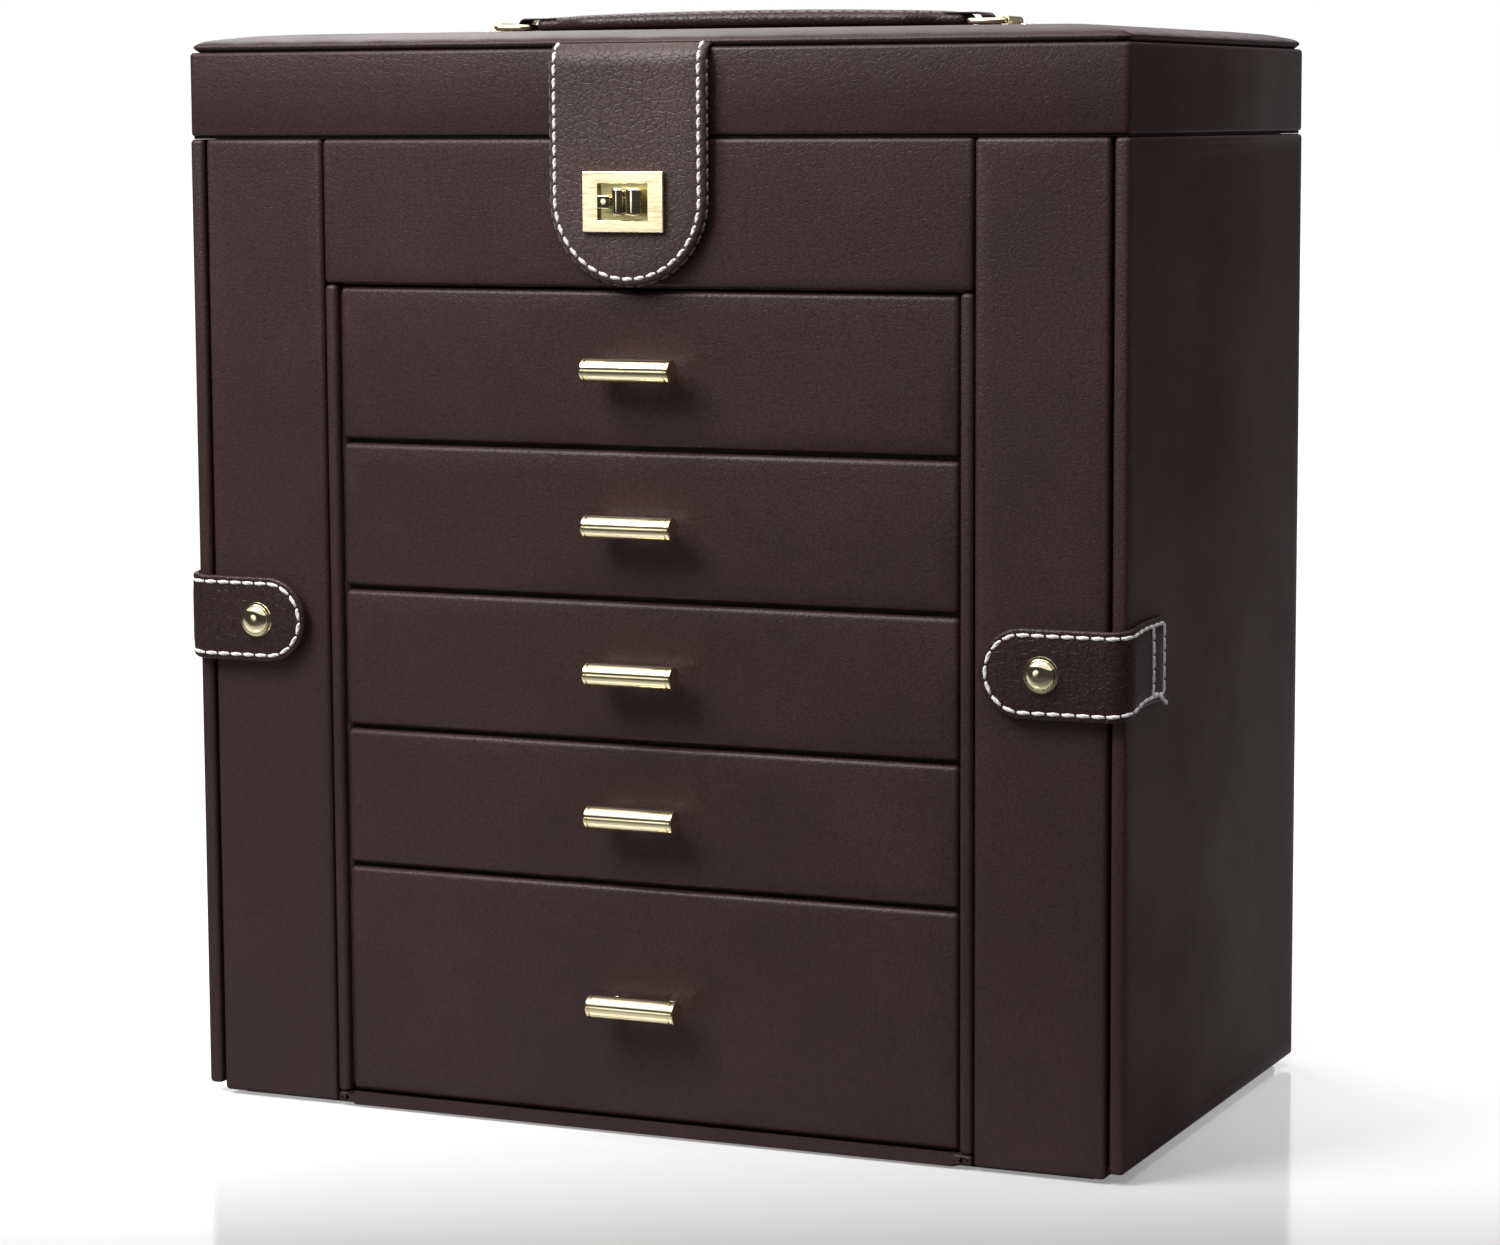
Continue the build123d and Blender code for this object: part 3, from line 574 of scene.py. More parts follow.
pad_columns = eased_stops(120, pad_half.x, 0.94)
pad_rows = eased_stops(72, pad_half.y, 0.94)
pad = start_grid("lid_pad_cover", 120, 72)
for vertex in pad.data.vertices:
    x = pad_columns[round((vertex.co.x + 1) * 60)]
    y = pad_rows[round((vertex.co.y + 1) * 36)]
    over = over_corner(x, y)
    if over.length > pad_corner:
        pull = over * (1 - pad_corner / over.length)
        x -= math.copysign(pull.x, x)
        y -= math.copysign(pull.y, y)
    vertex.co = (x, y, pad_low.z + pad_edge + pad_height(x, y))
pick(pad, "edges", lambda edge: edge.is_boundary)
for tuck, drop in ((0.4 * mm, 0.6 * mm), (1.1 * mm, 0.95 * mm)):
    bpy.ops.mesh.extrude_region_move(TRANSFORM_OT_translate={"value": (0, 0, -drop)})
    bpy.ops.transform.resize(
        value=(1 - tuck / pad_half.x, 1 - tuck / pad_half.y, 1), center_override=(0, 0, pad_low.z)
    )
bpy.ops.mesh.edge_face_add()
finish_piece(paint(pad, brown_leatherette), "lid", "lid_pad", smooth=70)

# Mirror
# A silvered glass with ground edges, glued under the lid's board inside a frame
# of thin board covered in suede.


def holed_plate(name, ends, hole, axis, rounding):
    """A flat plate with a rectangular hole through it along an axis, its edges softened."""
    low, high = Vector(ends[0]), Vector(ends[1])
    plate = start_box(name, low, high)
    pick(plate, "faces", lambda face: abs(face.normal[axis]) > 0.9)
    border = 1 * mm
    bpy.ops.mesh.inset(thickness=border)
    size = high - low
    shape = [1 if way == axis else hole[way] / (size[way] - 2 * border) for way in range(3)]
    bpy.ops.transform.resize(value=shape, center_override=(low + high) / 2)
    bpy.ops.mesh.bridge_edge_loops()
    round_edges(plate, rounding, 3, is_sharp)
    return plate


mirror_silver, _, _ = start_material(
    "mirror_silver", "mirror_glass", (0.9, 0.92, 0.915), Metallic=1.0, Roughness=0.015
)
mirror_low, mirror_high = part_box("mirror")
mirror = start_box("mirror_glass", mirror_low, mirror_high)
round_edges(mirror, 0.5 * mm, 1)
finish_piece(paint(mirror, mirror_silver), "lid", "mirror", smooth=20)
mirror_gap = 0.4 * mm
mirror_hole = [size + mirror_gap for size in mirror_high - mirror_low]
mirror_frame = holed_plate("mirror_surround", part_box("mirror_frame"), mirror_hole, 2, 0.9 * mm)
finish_piece(paint(mirror_frame, beige_suede), "lid", "mirror_frame", smooth=60)

# Tray dividers
# Thin boards covered in suede, which part the tray into rows for bracelets and
# watches and shut off the ring rolls on the left.

dividers_low, dividers_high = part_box("tray_dividers")
divider_thickness = 2.4 * mm
row_total = 3
row_pitch = (dividers_high.y - dividers_low.y) / row_total
divider_edge = dividers_low.x + divider_thickness
divider_ends = [(dividers_low, (divider_edge, dividers_high.y, dividers_high.z))]
for row in range(1, row_total):
    row_y = dividers_low.y + row * row_pitch
    divider_ends.append((
        (divider_edge, row_y - divider_thickness / 2, dividers_low.z),
        (dividers_high.x, row_y + divider_thickness / 2, dividers_high.z),
    ))
dividers = join_pieces(
    "suede_tray_dividers", [wrapped_board("tray_divider", ends, rounding=0.9 * mm) for ends in divider_ends]
)
finish_piece(paint(dividers, beige_suede), "case", "tray_dividers")

# Ring rolls
# Foam rolls covered in suede, side by side and glued to the tray's floor. Rings
# are pushed into the gaps between them.

rolls_low, rolls_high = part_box("ring_rolls")
roll_total = 10
roll_gap = 2.6 * mm
roll_pitch = (rolls_high.y - rolls_low.y + roll_gap) / roll_total
roll_width = roll_pitch - roll_gap
least_run = 20 * mm
rolls = []
for number in range(roll_total):
    roll_low = Vector((rolls_low.x, rolls_low.y + number * roll_pitch, rolls_low.z))
    roll_high = Vector((rolls_high.x, roll_low.y + roll_width, rolls_high.z))
    roll = start_box("ring_roll", roll_low, roll_high)
    round_edges(
        roll, roll_width * 0.49, 8,
        lambda edge: span(edge, 0) > least_run and edge.verts[0].co.z > roll_high.z - near,
    )
    round_edges(roll, 1.3 * mm, 4, lambda edge: span(edge, 0) < near)
    pick(roll, "edges", lambda edge: span(edge, 0) > least_run)
    bpy.ops.mesh.subdivide(number_cuts=20)
    choose(roll)
    for vertex in roll.data.vertices:
        from_end = min(vertex.co.x - roll_low.x, roll_high.x - vertex.co.x)
        sink = 0.9 * mm * math.exp(-from_end / (3 * mm))
        sink += 0.25 * mm * math.sin(vertex.co.x * 190 + number * 2.4) ** 2
        vertex.co.z -= sink * smooth_step(vertex.co.z, roll_low.z, roll_high.z)
    rolls.append(roll)
rolls = paint(join_pieces("ring_roll_cushions", rolls), beige_suede)
finish_piece(rolls, "case", "ring_rolls", smooth=70)

# Drawer boxes
# Each is a box of thin board, covered in suede inside and out and glued behind
# its front. Dividers stand in the three upper ones.

box_wall = 3 * mm
front_wall = 0.4 * mm
box_floor = 2.5 * mm
box_divider = 2 * mm
divider_drop = 5 * mm
slack = 0.1 * mm
for number, divider_count in enumerate((3, 2, 1, 0, 0), start=1):
    node = f"drawer_{number}_box"
    box_low, box_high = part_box(node)
    box = start_box(node + "_cover", box_low, box_high)
    pick(box, "faces", lambda face: face.normal.z > 0.9)
    bpy.ops.mesh.inset(thickness=box_wall)
    pick(
        box, "verts",
        lambda vertex: box_low.y + slack < vertex.co.y < box_low.y + box_wall + slack
        and abs(vertex.co.x) < box_high.x - slack,
    )
    bpy.ops.transform.translate(value=(0, front_wall - box_wall, 0))
    least_area = 0.5 * box.dimensions.x * box.dimensions.y
    pick(box, "faces", lambda face: face.normal.z > 0.9 and face.calc_area() > least_area)
    bpy.ops.mesh.extrude_region_move(
        TRANSFORM_OT_translate={"value": (0, 0, box_low.z + box_floor - box_high.z)}
    )
    bpy.ops.mesh.inset(thickness=1.5 * mm, depth=0.25 * mm)
    bpy.ops.mesh.inset(thickness=5 * mm, depth=0.35 * mm)
    rim_z = box_high.z - near
    round_edges(
        box, 0.18 * mm, 2,
        lambda edge: edge.verts[0].co.z > rim_z and edge.verts[1].co.z > rim_z and is_sharp(edge),
    )
    parts = [box]
    for place in range(1, divider_count + 1):
        divider_x = (box_high.x - box_wall) * (2 * place / (divider_count + 1) - 1)
        parts.append(wrapped_board(
            "drawer_divider",
            ((divider_x - box_divider / 2, box_low.y, box_low.z + box_floor),
             (divider_x + box_divider / 2, box_high.y - box_wall, box_high.z - divider_drop)),
            rounding=0.8 * mm,
        ))
    box = paint(join_pieces(node + "_cover", parts), beige_suede)
    finish_piece(box, f"drawer_{number}", node, smooth=35)

# Front flap
# A padded tongue of leatherette, doubled and stitched round its edge with
# white thread, and sewn into the lid's seam. It bends where it leaves the seam.

flap_low, flap_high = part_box("clasp_flap")
flap_half = (flap_high.x - flap_low.x) / 2
flap_middle = (flap_high.x + flap_low.x) / 2
flap_thickness = flap_high.y - flap_low.y
flap_y = (flap_high.y + flap_low.y) / 2
flap_bend_z = 316.5 * mm
flap_straight = flap_bend_z - flap_low.z
flap_bend = (
    Vector((flap_y, flap_bend_z)),
    Vector((flap_y, pad_low.z + 0.9 * mm)),
    Vector((pad_low.y + 1.4 * mm, pad_low.z + 0.75 * mm)),
)
flap_bend_length = 7.2 * mm
flap_length = flap_straight + flap_bend_length
stitch_inset = 2.0 * mm
stitch_lift = 0.12 * mm
stitch_length = 3.4 * mm
stitch_width = 1.15 * mm


def flap_place(along, across):
    """The middle of the flap's thickness, the way it faces, and its share of the thickness."""
    if along <= flap_straight:
        return Vector((flap_middle + across, flap_y, flap_low.z + along)), Vector(front_way), 1
    share = (along - flap_straight) / flap_bend_length
    start, middle, end = flap_bend
    point = start * (1 - share) ** 2 + middle * 2 * share * (1 - share) + end * share ** 2
    way = ((middle - start) * (1 - share) + (end - middle) * share).normalized()
    facing = Vector((0, -way.y, way.x))
    return Vector((flap_middle + across, point.x, point.y)), facing, 1 - 0.62 * smooth_step(share, 0, 1)


def sewn_height(inside, thickness):
    """Half the thickness at a distance from the edge: a rolled rim, the stitches' dip, the swell."""
    roll = 1 - min(max(inside, 0) / (0.45 * thickness), 1)
    rolled = 0.84 * thickness / 2 * math.sqrt(1 - roll ** 2)
    dip = 0.07 * thickness * math.exp(-((inside - stitch_inset) / (0.6 * mm)) ** 2)
    padding = 0.16 * thickness / 2 * smooth_step(inside, stitch_inset, stitch_inset + 5 * mm)
    return rolled + padding - dip


def add_object(name, data):
    """A new object with its data, in the scene."""
    made = bpy.data.objects.new(name, data)
    bpy.context.scene.collection.objects.link(made)
    return made


def start_mesh(name, points, edges, faces):
    """A piece from its points, and the edges or faces between them."""
    mesh = bpy.data.meshes.new(name)
    mesh.from_pydata(points, edges, faces)
    return add_object(name, mesh)


def close_mesh(piece, gap):
    """Points closer than a gap merged, and all faces turned outwards."""
    pick(piece, "verts")
    bpy.ops.mesh.remove_doubles(threshold=gap)
    bpy.ops.mesh.normals_make_consistent(inside=False)
    choose(piece)
    return piece


def sewn_band(name, stations, half_at, inside_at, place, thickness, columns=44):
    """A closed sewn band: its front and its back meet in a rolled rim."""
    shares = eased_stops(columns, 1, 0.97)
    points = []
    for front in (1, -1):
        for along in stations:
            for share in shares:
                across = share * half_at(along)
                point, facing, fraction = place(along, across)
                height = sewn_height(inside_at(along, across), thickness) * fraction
                points.append(point + facing * height * front)
    count = columns + 1
    faces = []
    for row in range(2 * len(stations) - 1):
        if row != len(stations) - 1:
            for first in range(row * count, row * count + columns):
                faces.append((first, first + 1, first + count + 1, first + count))
    return close_mesh(start_mesh(name, points, [], faces), 0.02 * mm)


def sewn_tongue(name, half, length, thickness, place, step=1.5 * mm, columns=44):
    """A sewn tongue with a round tip and a square end."""
    def half_at(along):
        return half if along >= half else math.sqrt(max(half ** 2 - (half - along) ** 2, 0))

    def inside_at(along, across):
        inside = half - (math.hypot(half - along, across) if along < half else abs(across))
        return min(inside, length - along)

    tip_steps = 18
    stations = [half * (1 - math.cos(math.pi / 2 * row / tip_steps)) for row in range(tip_steps)]
    rows = round((length - half) / step)
    stations += [half + (length - half) * row / rows for row in range(rows + 1)]
    stations[-1:-1] = [length - back * thickness for back in (0.3, 0.15, 0.05)]
    return sewn_band(name, stations, half_at, inside_at, place, thickness, columns)


def tip_outline(half, length, inset):
    """Places along and across such a tongue, on a line inside its edge, from one end round its tip."""
    radius = half - inset
    run = [length * step / 40 for step in range(40, 0, -1) if length * step / 40 > half]
    turns = [math.pi * step / 48 for step in range(49)]
    line = [(along, -radius) for along in run]
    line += [(half - radius * math.sin(turn), -radius * math.cos(turn)) for turn in turns]
    return line + [(along, radius) for along in reversed(run)]


def make_stitch():
    """One stitch of twisted thread, arched so that its ends go down into the leatherette."""
    choose()
    bpy.ops.mesh.primitive_cylinder_add(vertices=8, radius=0.5, depth=1, rotation=(0, math.pi / 2, 0))
    stitch = bpy.context.object
    bpy.ops.object.transform_apply()
    pick(stitch, "edges", lambda edge: span(edge, 0) > 0.5)
    bpy.ops.mesh.subdivide(number_cuts=6)
    for low, high, shape in ((0.49, 1, (1, 0.8, 0.8)), (0.3, 0.4, (1.15, 0.95, 0.95))):
        pick(stitch, "verts", lambda vertex: low < abs(vertex.co.x) < high)
        bpy.ops.transform.resize(value=shape, center_override=(0, 0, 0))
    choose(stitch)
    for vertex in stitch.data.vertices:
        share, y, z = vertex.co.x, vertex.co.y * 1.12, vertex.co.z * 0.8
        turn = share * 4.2
        vertex.co = (
            share * stitch_length,
            (y * math.cos(turn) - z * math.sin(turn)) * stitch_width,
            (y * math.sin(turn) + z * math.cos(turn)) * stitch_width - 30 * mm * share ** 6,
        )
    bpy.ops.object.shade_smooth_by_angle(angle=math.radians(80))
    return stitch


stitch = make_stitch()


def sew(name, line, material, pitch=3.9 * mm, cover=0.82):
    """Stitches at even steps on a line of points, each with the way that the surface faces there."""
    lengths = [0]
    for (before, _), (after, _) in zip(line, line[1:]):
        lengths.append(lengths[-1] + (after - before).length)
    count = round(lengths[-1] / pitch)

    def at(distance):
        step = next((step for step in range(1, len(line)) if lengths[step] >= distance), len(line) - 1)
        share = (distance - lengths[step - 1]) / (lengths[step] - lengths[step - 1])
        share = min(max(share, 0), 1)
        return [before.lerp(after, share) for before, after in zip(line[step - 1], line[step])]

    copies = []
    for number in range(count):
        middle = (number + 0.5) * lengths[-1] / count
        point, facing = at(middle)
        along = (at(middle + stitch_length / 2)[0] - at(middle - stitch_length / 2)[0]).normalized()
        facing = (facing - along * facing.dot(along)).normalized()
        turned = Matrix((along, facing.cross(along), facing)).transposed().to_4x4()
        stretch = Matrix.Diagonal((cover * pitch / stitch_length, 1, 1, 1))
        mesh = stitch.data.copy()
        mesh.transform(Matrix.Translation(point) @ turned @ stretch)
        copies.insert(0, add_object(name, mesh))
    return paint(join_pieces(name, copies), material)


def on_front(place, along, across, height):
    """A stitch's place on the front of a sewn band, and the way that it faces there."""
    point, facing, fraction = place(along, across)
    return point + facing * (height * fraction + stitch_lift), facing


def tongue_line(place, half, length, thickness):
    """The line of stitches on a tongue's front."""
    height = sewn_height(stitch_inset, thickness)
    return [on_front(place, *spot, height) for spot in tip_outline(half, length, stitch_inset)]


def blend_rows(rows):
    """Rows of stitches with their places baked into their points."""
    for row in rows:
        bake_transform(row)


thread, thread_tree, thread_shader = start_material(
    "white_thread", "brown_leatherette", Roughness=0.62, Sheen_Weight=0.2
)
thread_twist = shader_node(
    thread_tree, "TexWave", {"Vector": object_place(thread_tree), "Scale": 900, "Distortion": 0.6},
    bands_direction="DIAGONAL",
)["Fac"]
thread_colour = shade_between(thread_tree, thread_twist, (0.84, 0.80, 0.79), (0.97, 0.95, 0.94))
set_inputs(thread_tree, thread_shader, {"Base Color": thread_colour})
roughen(thread_tree, thread_shader, thread_twist, 0.08 * mm)
brown_thread, _, _ = start_material(
    "brown_thread", "brown_leatherette", (0.16, 0.125, 0.12), Roughness=0.6
)
flap_leatherette = leatherette(
    "flap_leatherette", (0.055, 0.0335, 0.0335), (0.102, 0.0645, 0.0635), 1050, 0.13 * mm, 0.52, 0.4
)

flap = sewn_tongue("flap_cover", flap_half, flap_length, flap_thickness, flap_place)
finish_piece(paint(flap, flap_leatherette), None, "clasp_flap", smooth=80)
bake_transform(flap)

flap_front_line = tongue_line(flap_place, flap_half, flap_length - 1.5 * mm, flap_thickness)
flap_side_line = []
for along, across in tip_outline(flap_half, flap_length - 6 * mm, 0.15 * mm):
    turn_x = math.copysign(1, across) if along > flap_half else across / flap_half
    turn_z = 0 if along > flap_half else -math.sqrt(max(1 - turn_x ** 2, 0))
    flap_side_line.append((flap_place(along, across)[0], Vector((turn_x, 0, turn_z)).normalized()))
flap_rows = [
    sew("flap_front_stitches", flap_front_line, thread),
    sew("flap_side_stitches", flap_side_line, brown_thread),
]
blend_rows(flap_rows)

# Door straps
# Each is a doubled tongue of leatherette, stitched round its edge, that wraps
# the front corner. Its square end is sewn to the door by two upright rows.

strap_leatherette = leatherette(
    "strap_leatherette", (0.024, 0.0105, 0.011), (0.042, 0.020, 0.0205), 1050, 0.11 * mm, 0.4, 0.3
)
strap_thickness = 2.2 * mm
strap_bend_radius = 4.6 * mm
strap_rise = 2.4 * mm
end_inset = 2.6 * mm
end_row_gap = 10 * mm
loose_end = ((12.5 * mm, 10.9 * mm), (10 * mm, 10.2 * mm), (6.5 * mm, 11.5 * mm), (0.8 * mm, 14.4 * mm))
loose_lift = 0.18 * mm
for side, x_way in sides:
    tongue_low, tongue_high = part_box(side + "_strap_tongue")
    anchor_low, anchor_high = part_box(side + "_strap_anchor")
    strap_half = (tongue_high.z - tongue_low.z) / 2
    strap_z = (tongue_high.z + tongue_low.z) / 2
    anchor_half = (anchor_high.z - anchor_low.z) / 2
    strap_y = (tongue_high.y + tongue_low.y) / 2
    strap_x = abs(anchor_high.x + anchor_low.x) / 2
    tip_x = min(abs(tongue_low.x), abs(tongue_high.x))
    front_run = strap_x - strap_bend_radius - tip_x
    bend_run = strap_bend_radius * math.pi / 2
    strap_length = front_run + bend_run + anchor_high.y - strap_y - strap_bend_radius

    def strap_place(along, across):
        """The middle of the strap's thickness, and the way it faces, round the corner."""
        past = max(along - front_run, 0)
        on_side = smooth_step(along, front_run - 2 * mm, front_run + bend_run + 12 * mm)
        z = strap_z + across * (1 + (anchor_half / strap_half - 1) * on_side) + strap_rise * on_side
        turn = min(past / strap_bend_radius, math.pi / 2)
        x = strap_x - strap_bend_radius * (1 - math.sin(turn)) - max(front_run - along, 0)
        y = strap_y + strap_bend_radius * (1 - math.cos(turn)) + max(past - bend_run, 0)
        return Vector((x_way * x, y, z)), Vector((x_way * math.sin(turn), -math.cos(turn), 0)), 1

    name = side + "_strap_leather"
    strap = sewn_tongue(name, strap_half, strap_length, strap_thickness, strap_place, 1 * mm, 36)
    strap = paint(strap, strap_leatherette)
    finish_piece(strap, None, side + "_strap_tongue", side + "_strap_anchor", smooth=80)
    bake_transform(strap)

    seam = tongue_line(strap_place, strap_half, strap_length - end_inset, strap_thickness)
    rows = [sew(side + "_strap_stitches", seam, thread, 4.4 * mm, 0.88)]
    for number, setback in enumerate((end_inset, end_inset + end_row_gap)):
        line = []
        for step in range(21):
            across = (strap_half - stitch_inset) * (step / 10 - 1)
            height = sewn_height(min(setback, strap_half - abs(across)), strap_thickness)
            line.append(on_front(strap_place, strap_length - setback, across, height))
        rows.append(sew(f"{side}_strap_end_row_{number + 1}", line, thread, 4.4 * mm, 0.88))
    if side == "right":
        height = strap_thickness / 2 + loose_lift
        line = [on_front(strap_place, strap_length - back, -across, height) for back, across in loose_end]
        rows.append(sew("right_strap_last_stitches", line, thread, 4.4 * mm, 0.95))
    blend_rows(rows)

# Snaps
# A domed cap of pale gold plate, riveted through each strap to a socket that
# closes on a catch in the stile.

scuffs, scuffs_in, scuffs_end = start_group("fine_scuffs", ("Vector", "Scale"), ("Mask",))
scuff_place = shader_node(
    scuffs, "VectorMath", {0: scuffs_in["Vector"], 1: (1, 6, 14)}, operation="MULTIPLY"
)[0]
scuff_lines = noise(scuffs, scuff_place, scuffs_in["Scale"], 4)["Fac"]
set_inputs(scuffs, scuffs_end, {"Mask": remap(scuffs, scuff_lines, 0.4, 0.75)})


def plated_metal(name, dark, light, smooth, worn, slot="gold_hardware"):
    """Plated metal with a faint change of shade, rougher where it is scuffed."""
    metal, tree, shader = start_material(name, slot, Metallic=1.0)
    mask = place_group(tree, scuffs, Scale=130)["Mask"]
    set_inputs(tree, shader, {
        "Roughness": remap(tree, mask, 0, 1, smooth, worn),
        "Base Color": shade_between(tree, mask, light, dark),
    })
    return metal


gold_shades = (0.83, 0.70, 0.42), (0.93, 0.83, 0.56)
pale_gold = plated_metal("pale_gold_plate", *gold_shades, 0.1, 0.22)
bright_gold = plated_metal("bright_gold_plate", *gold_shades, 0.03, 0.09)


def settle(piece, point, outward):
    """A piece that was made upright at the origin is turned outward and moved to its point."""
    turned = Vector(up_way).rotation_difference(Vector(outward)).to_matrix().to_4x4()
    piece.data.transform(Matrix.Translation(point) @ turned)
    return piece


def lathe(name, profile, centre, axis, steps=40):
    """A profile of radii and heights, spun round an axis through the centre."""
    points = [(radius, 0, height) for radius, height in profile]
    piece = start_mesh(name, points, [(step, step + 1) for step in range(len(points) - 1)], [])
    pick(piece, "verts")
    bpy.ops.mesh.spin(steps=steps, angle=2 * math.pi, center=(0, 0, 0), axis=up_way)
    return settle(close_mesh(piece, 0.001 * mm), centre, axis)


def arc_profile(radius, height, count):
    """A dome's profile, from its flat crown to its steep rim."""
    turns = [math.pi / 2 * step / count for step in range(count + 1)]
    return [(radius * math.sin(turn) ** 0.7, height * math.cos(turn) ** 1.1) for turn in turns]


for side, x_way in sides:
    snap_low, snap_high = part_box(side + "_strap_snap")
    strap_face, strap_back = [corner.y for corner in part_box(side + "_strap_tongue")]
    snap_x = (snap_low.x + snap_high.x) / 2
    snap_z = (snap_low.z + snap_high.z) / 2
    cap_radius = (snap_high.x - snap_low.x) / 2
    cap_height = strap_face - snap_low.y - 0.1 * mm
    cap_profile = arc_profile(cap_radius - 0.8 * mm, cap_height, 16) + [
        (cap_radius - 0.6 * mm, -0.05 * mm), (cap_radius - 0.15 * mm, -0.12 * mm), (cap_radius, -0.35 * mm),
        (cap_radius - 0.2 * mm, -0.6 * mm), (0, -0.6 * mm),
    ]
    cap = lathe(side + "_snap_cap", cap_profile, (snap_x, strap_face - 0.35 * mm, snap_z), front_way)
    finish_piece(paint(cap, bright_gold), side + "_strap", side + "_strap_snap", smooth=40)
    socket_end = snap_high.y - strap_back
    socket_profile = [
        (0, socket_end - 0.5 * mm), (1.5 * mm, socket_end - 0.5 * mm), (1.9 * mm, socket_end - 0.1 * mm),
        (2.6 * mm, socket_end), (3.1 * mm, socket_end - 0.3 * mm), (3.6 * mm, 0.35 * mm),
        (4.4 * mm, 0.3 * mm), (4.5 * mm, 0), (0, -0.1 * mm),
    ]
    socket = lathe(side + "_snap_socket", socket_profile, (snap_x, strap_back, snap_z), back_way)
    finish_piece(paint(socket, pale_gold), side + "_strap", smooth=40)

# Clasp
# A window plate of pale gold on the flap, with a turn knob that rides in the
# window and drives a small bolt into the keeper.

plate_low, plate_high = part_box("clasp_plate")
plate_low.y -= 0.4 * mm
window_width = 15.6 * mm
window_height = 10.6 * mm
plate = holed_plate(
    "clasp_window_plate", (plate_low, plate_high), (window_width, 0, window_height), 1, 0.25 * mm
)
finish_piece(paint(plate, pale_gold), "clasp_flap", "clasp_plate", smooth=35, flat_faces=True)

backing_half = Vector((window_width / 2 + 1 * mm, 0.1 * mm, window_height / 2 + 1 * mm))
backing_middle = (plate_low + plate_high) / 2
backing_middle.y = plate_high.y - 0.1 * mm
backing = start_box("clasp_backing", backing_middle - backing_half, backing_middle + backing_half)
round_edges(backing, 0.05 * mm, 2)
# The backing is satin gold, darker than the plate: partly its rougher finish, partly a tone painted darker as
# painted shade of the window's recess.
satin_gold_with_painted_shade = plated_metal("satin_gold_plate", (0.50, 0.41, 0.17), (0.68, 0.60, 0.30), 0.3, 0.42)
finish_piece(paint(backing, satin_gold_with_painted_shade), "clasp_flap", flat_faces=True)


def rounded_end(radius, half, rounding):
    """Half the profile of a round bar: from the middle of its end out to its side."""
    turns = [math.pi / 2 * step / 6 for step in range(7)]
    return [(0, half)] + [
        (radius - rounding * (1 - math.sin(turn)), half - rounding * (1 - math.cos(turn))) for turn in turns
    ]


def both_ends(half_profile):
    """A whole profile from its upper half."""
    return half_profile + [(radius, -height) for radius, height in reversed(half_profile)]


knob_low, knob_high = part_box("clasp_knob")
knob_middle = (knob_low + knob_high) / 2
knob_half_height = (knob_high.z - knob_low.z) / 2
knob_back = plate_low.y - 0.08 * mm
knob_parts = []
for lobe_start, lobe_end in ((-2.4 * mm, 1.5 * mm), (1.7 * mm, knob_high.x - knob_middle.x)):
    lobe_radius = (lobe_end - lobe_start) / 2
    lobe_profile = both_ends(rounded_end(lobe_radius, knob_half_height, 0.9 * mm))
    lobe_at = (knob_middle.x + (lobe_start + lobe_end) / 2, knob_low.y + lobe_radius, knob_middle.z)
    lobe = lathe("clasp_lobe", lobe_profile, lobe_at, up_way, 32)
    pick(lobe, "verts")
    bpy.ops.transform.resize(
        value=(1, (knob_back - knob_low.y) / (2 * lobe_radius), 1), center_override=(0, knob_low.y, 0)
    )
    knob_parts.append(lobe)
for name, bar_start, bar_end, bar_half_height, bar_drop in (
    ("clasp_tab", knob_low.x, knob_middle.x - 3 * mm, 1.9 * mm, 0.9 * mm),
    ("clasp_neck", knob_low.x + 1 * mm, knob_high.x - 1.5 * mm, 1.5 * mm, 1.9 * mm),
):
    bar = start_box(
        name, (bar_start, knob_low.y + bar_drop, knob_middle.z - bar_half_height),
        (bar_end, knob_back, knob_middle.z + bar_half_height),
    )
    round_edges(bar, 0.3 * mm, 3)
    knob_parts.append(bar)
knob_parts.append(lathe(
    "clasp_spindle",
    [(2.6 * mm, 0), (2.6 * mm, 5.4 * mm), (1.7 * mm, 5.4 * mm), (1.7 * mm, 0), (2.6 * mm, 0)],
    (knob_middle.x, knob_back - 0.5 * mm, knob_middle.z), back_way, 24,
))
knob = paint(join_pieces("clasp_turn_knob", knob_parts), bright_gold)
finish_piece(knob, "clasp_knob", "clasp_knob", smooth=35)
for node in ("clasp_bolt", "clasp_keeper", "strap_catches"):
    paint(nodes[node], pale_gold)

# Drawer pulls
# A turned bar with a groove near each end, on two posts with small collars.
# Studs through the drawer front hold them.

groove_depth = 0.35 * mm
post_radius = 1.7 * mm
post_reach = 9 * mm
for number in range(1, 6):
    pull_low, pull_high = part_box(f"drawer_{number}_pull")
    face_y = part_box(f"drawer_{number}_front")[0].y
    bar_radius = (pull_high.z - pull_low.z) / 2
    bar_half = (pull_high.x - pull_low.x) / 2
    bar_y = pull_low.y + bar_radius
    bar_z = (pull_high.z + pull_low.z) / 2
    half_bar = rounded_end(bar_radius, bar_half, 0.4 * mm) + [
        (bar_radius, bar_half - 1.1 * mm), (bar_radius - groove_depth, bar_half - 1.2 * mm),
        (bar_radius - groove_depth, bar_half - 1.5 * mm), (bar_radius, bar_half - 1.6 * mm),
    ]
    parts = [lathe(f"drawer_{number}_handle", both_ends(half_bar), (0, bar_y, bar_z), right_way, 40)]
    post_end = face_y - bar_y - 1 * mm
    post_profile = [
        (0, 0), (post_radius + 0.3 * mm, 0), (post_radius + 0.3 * mm, 0.4 * mm), (post_radius, 0.8 * mm),
        (post_radius, post_end), (0, post_end),
    ]
    for post_x in (-post_reach, post_reach):
        parts.append(lathe("pull_post", post_profile, (post_x, face_y, bar_z), front_way, 24))
    pull = paint(join_pieces(f"drawer_{number}_handle", parts), pale_gold)
    finish_piece(pull, f"drawer_{number}", f"drawer_{number}_pull", smooth=35)

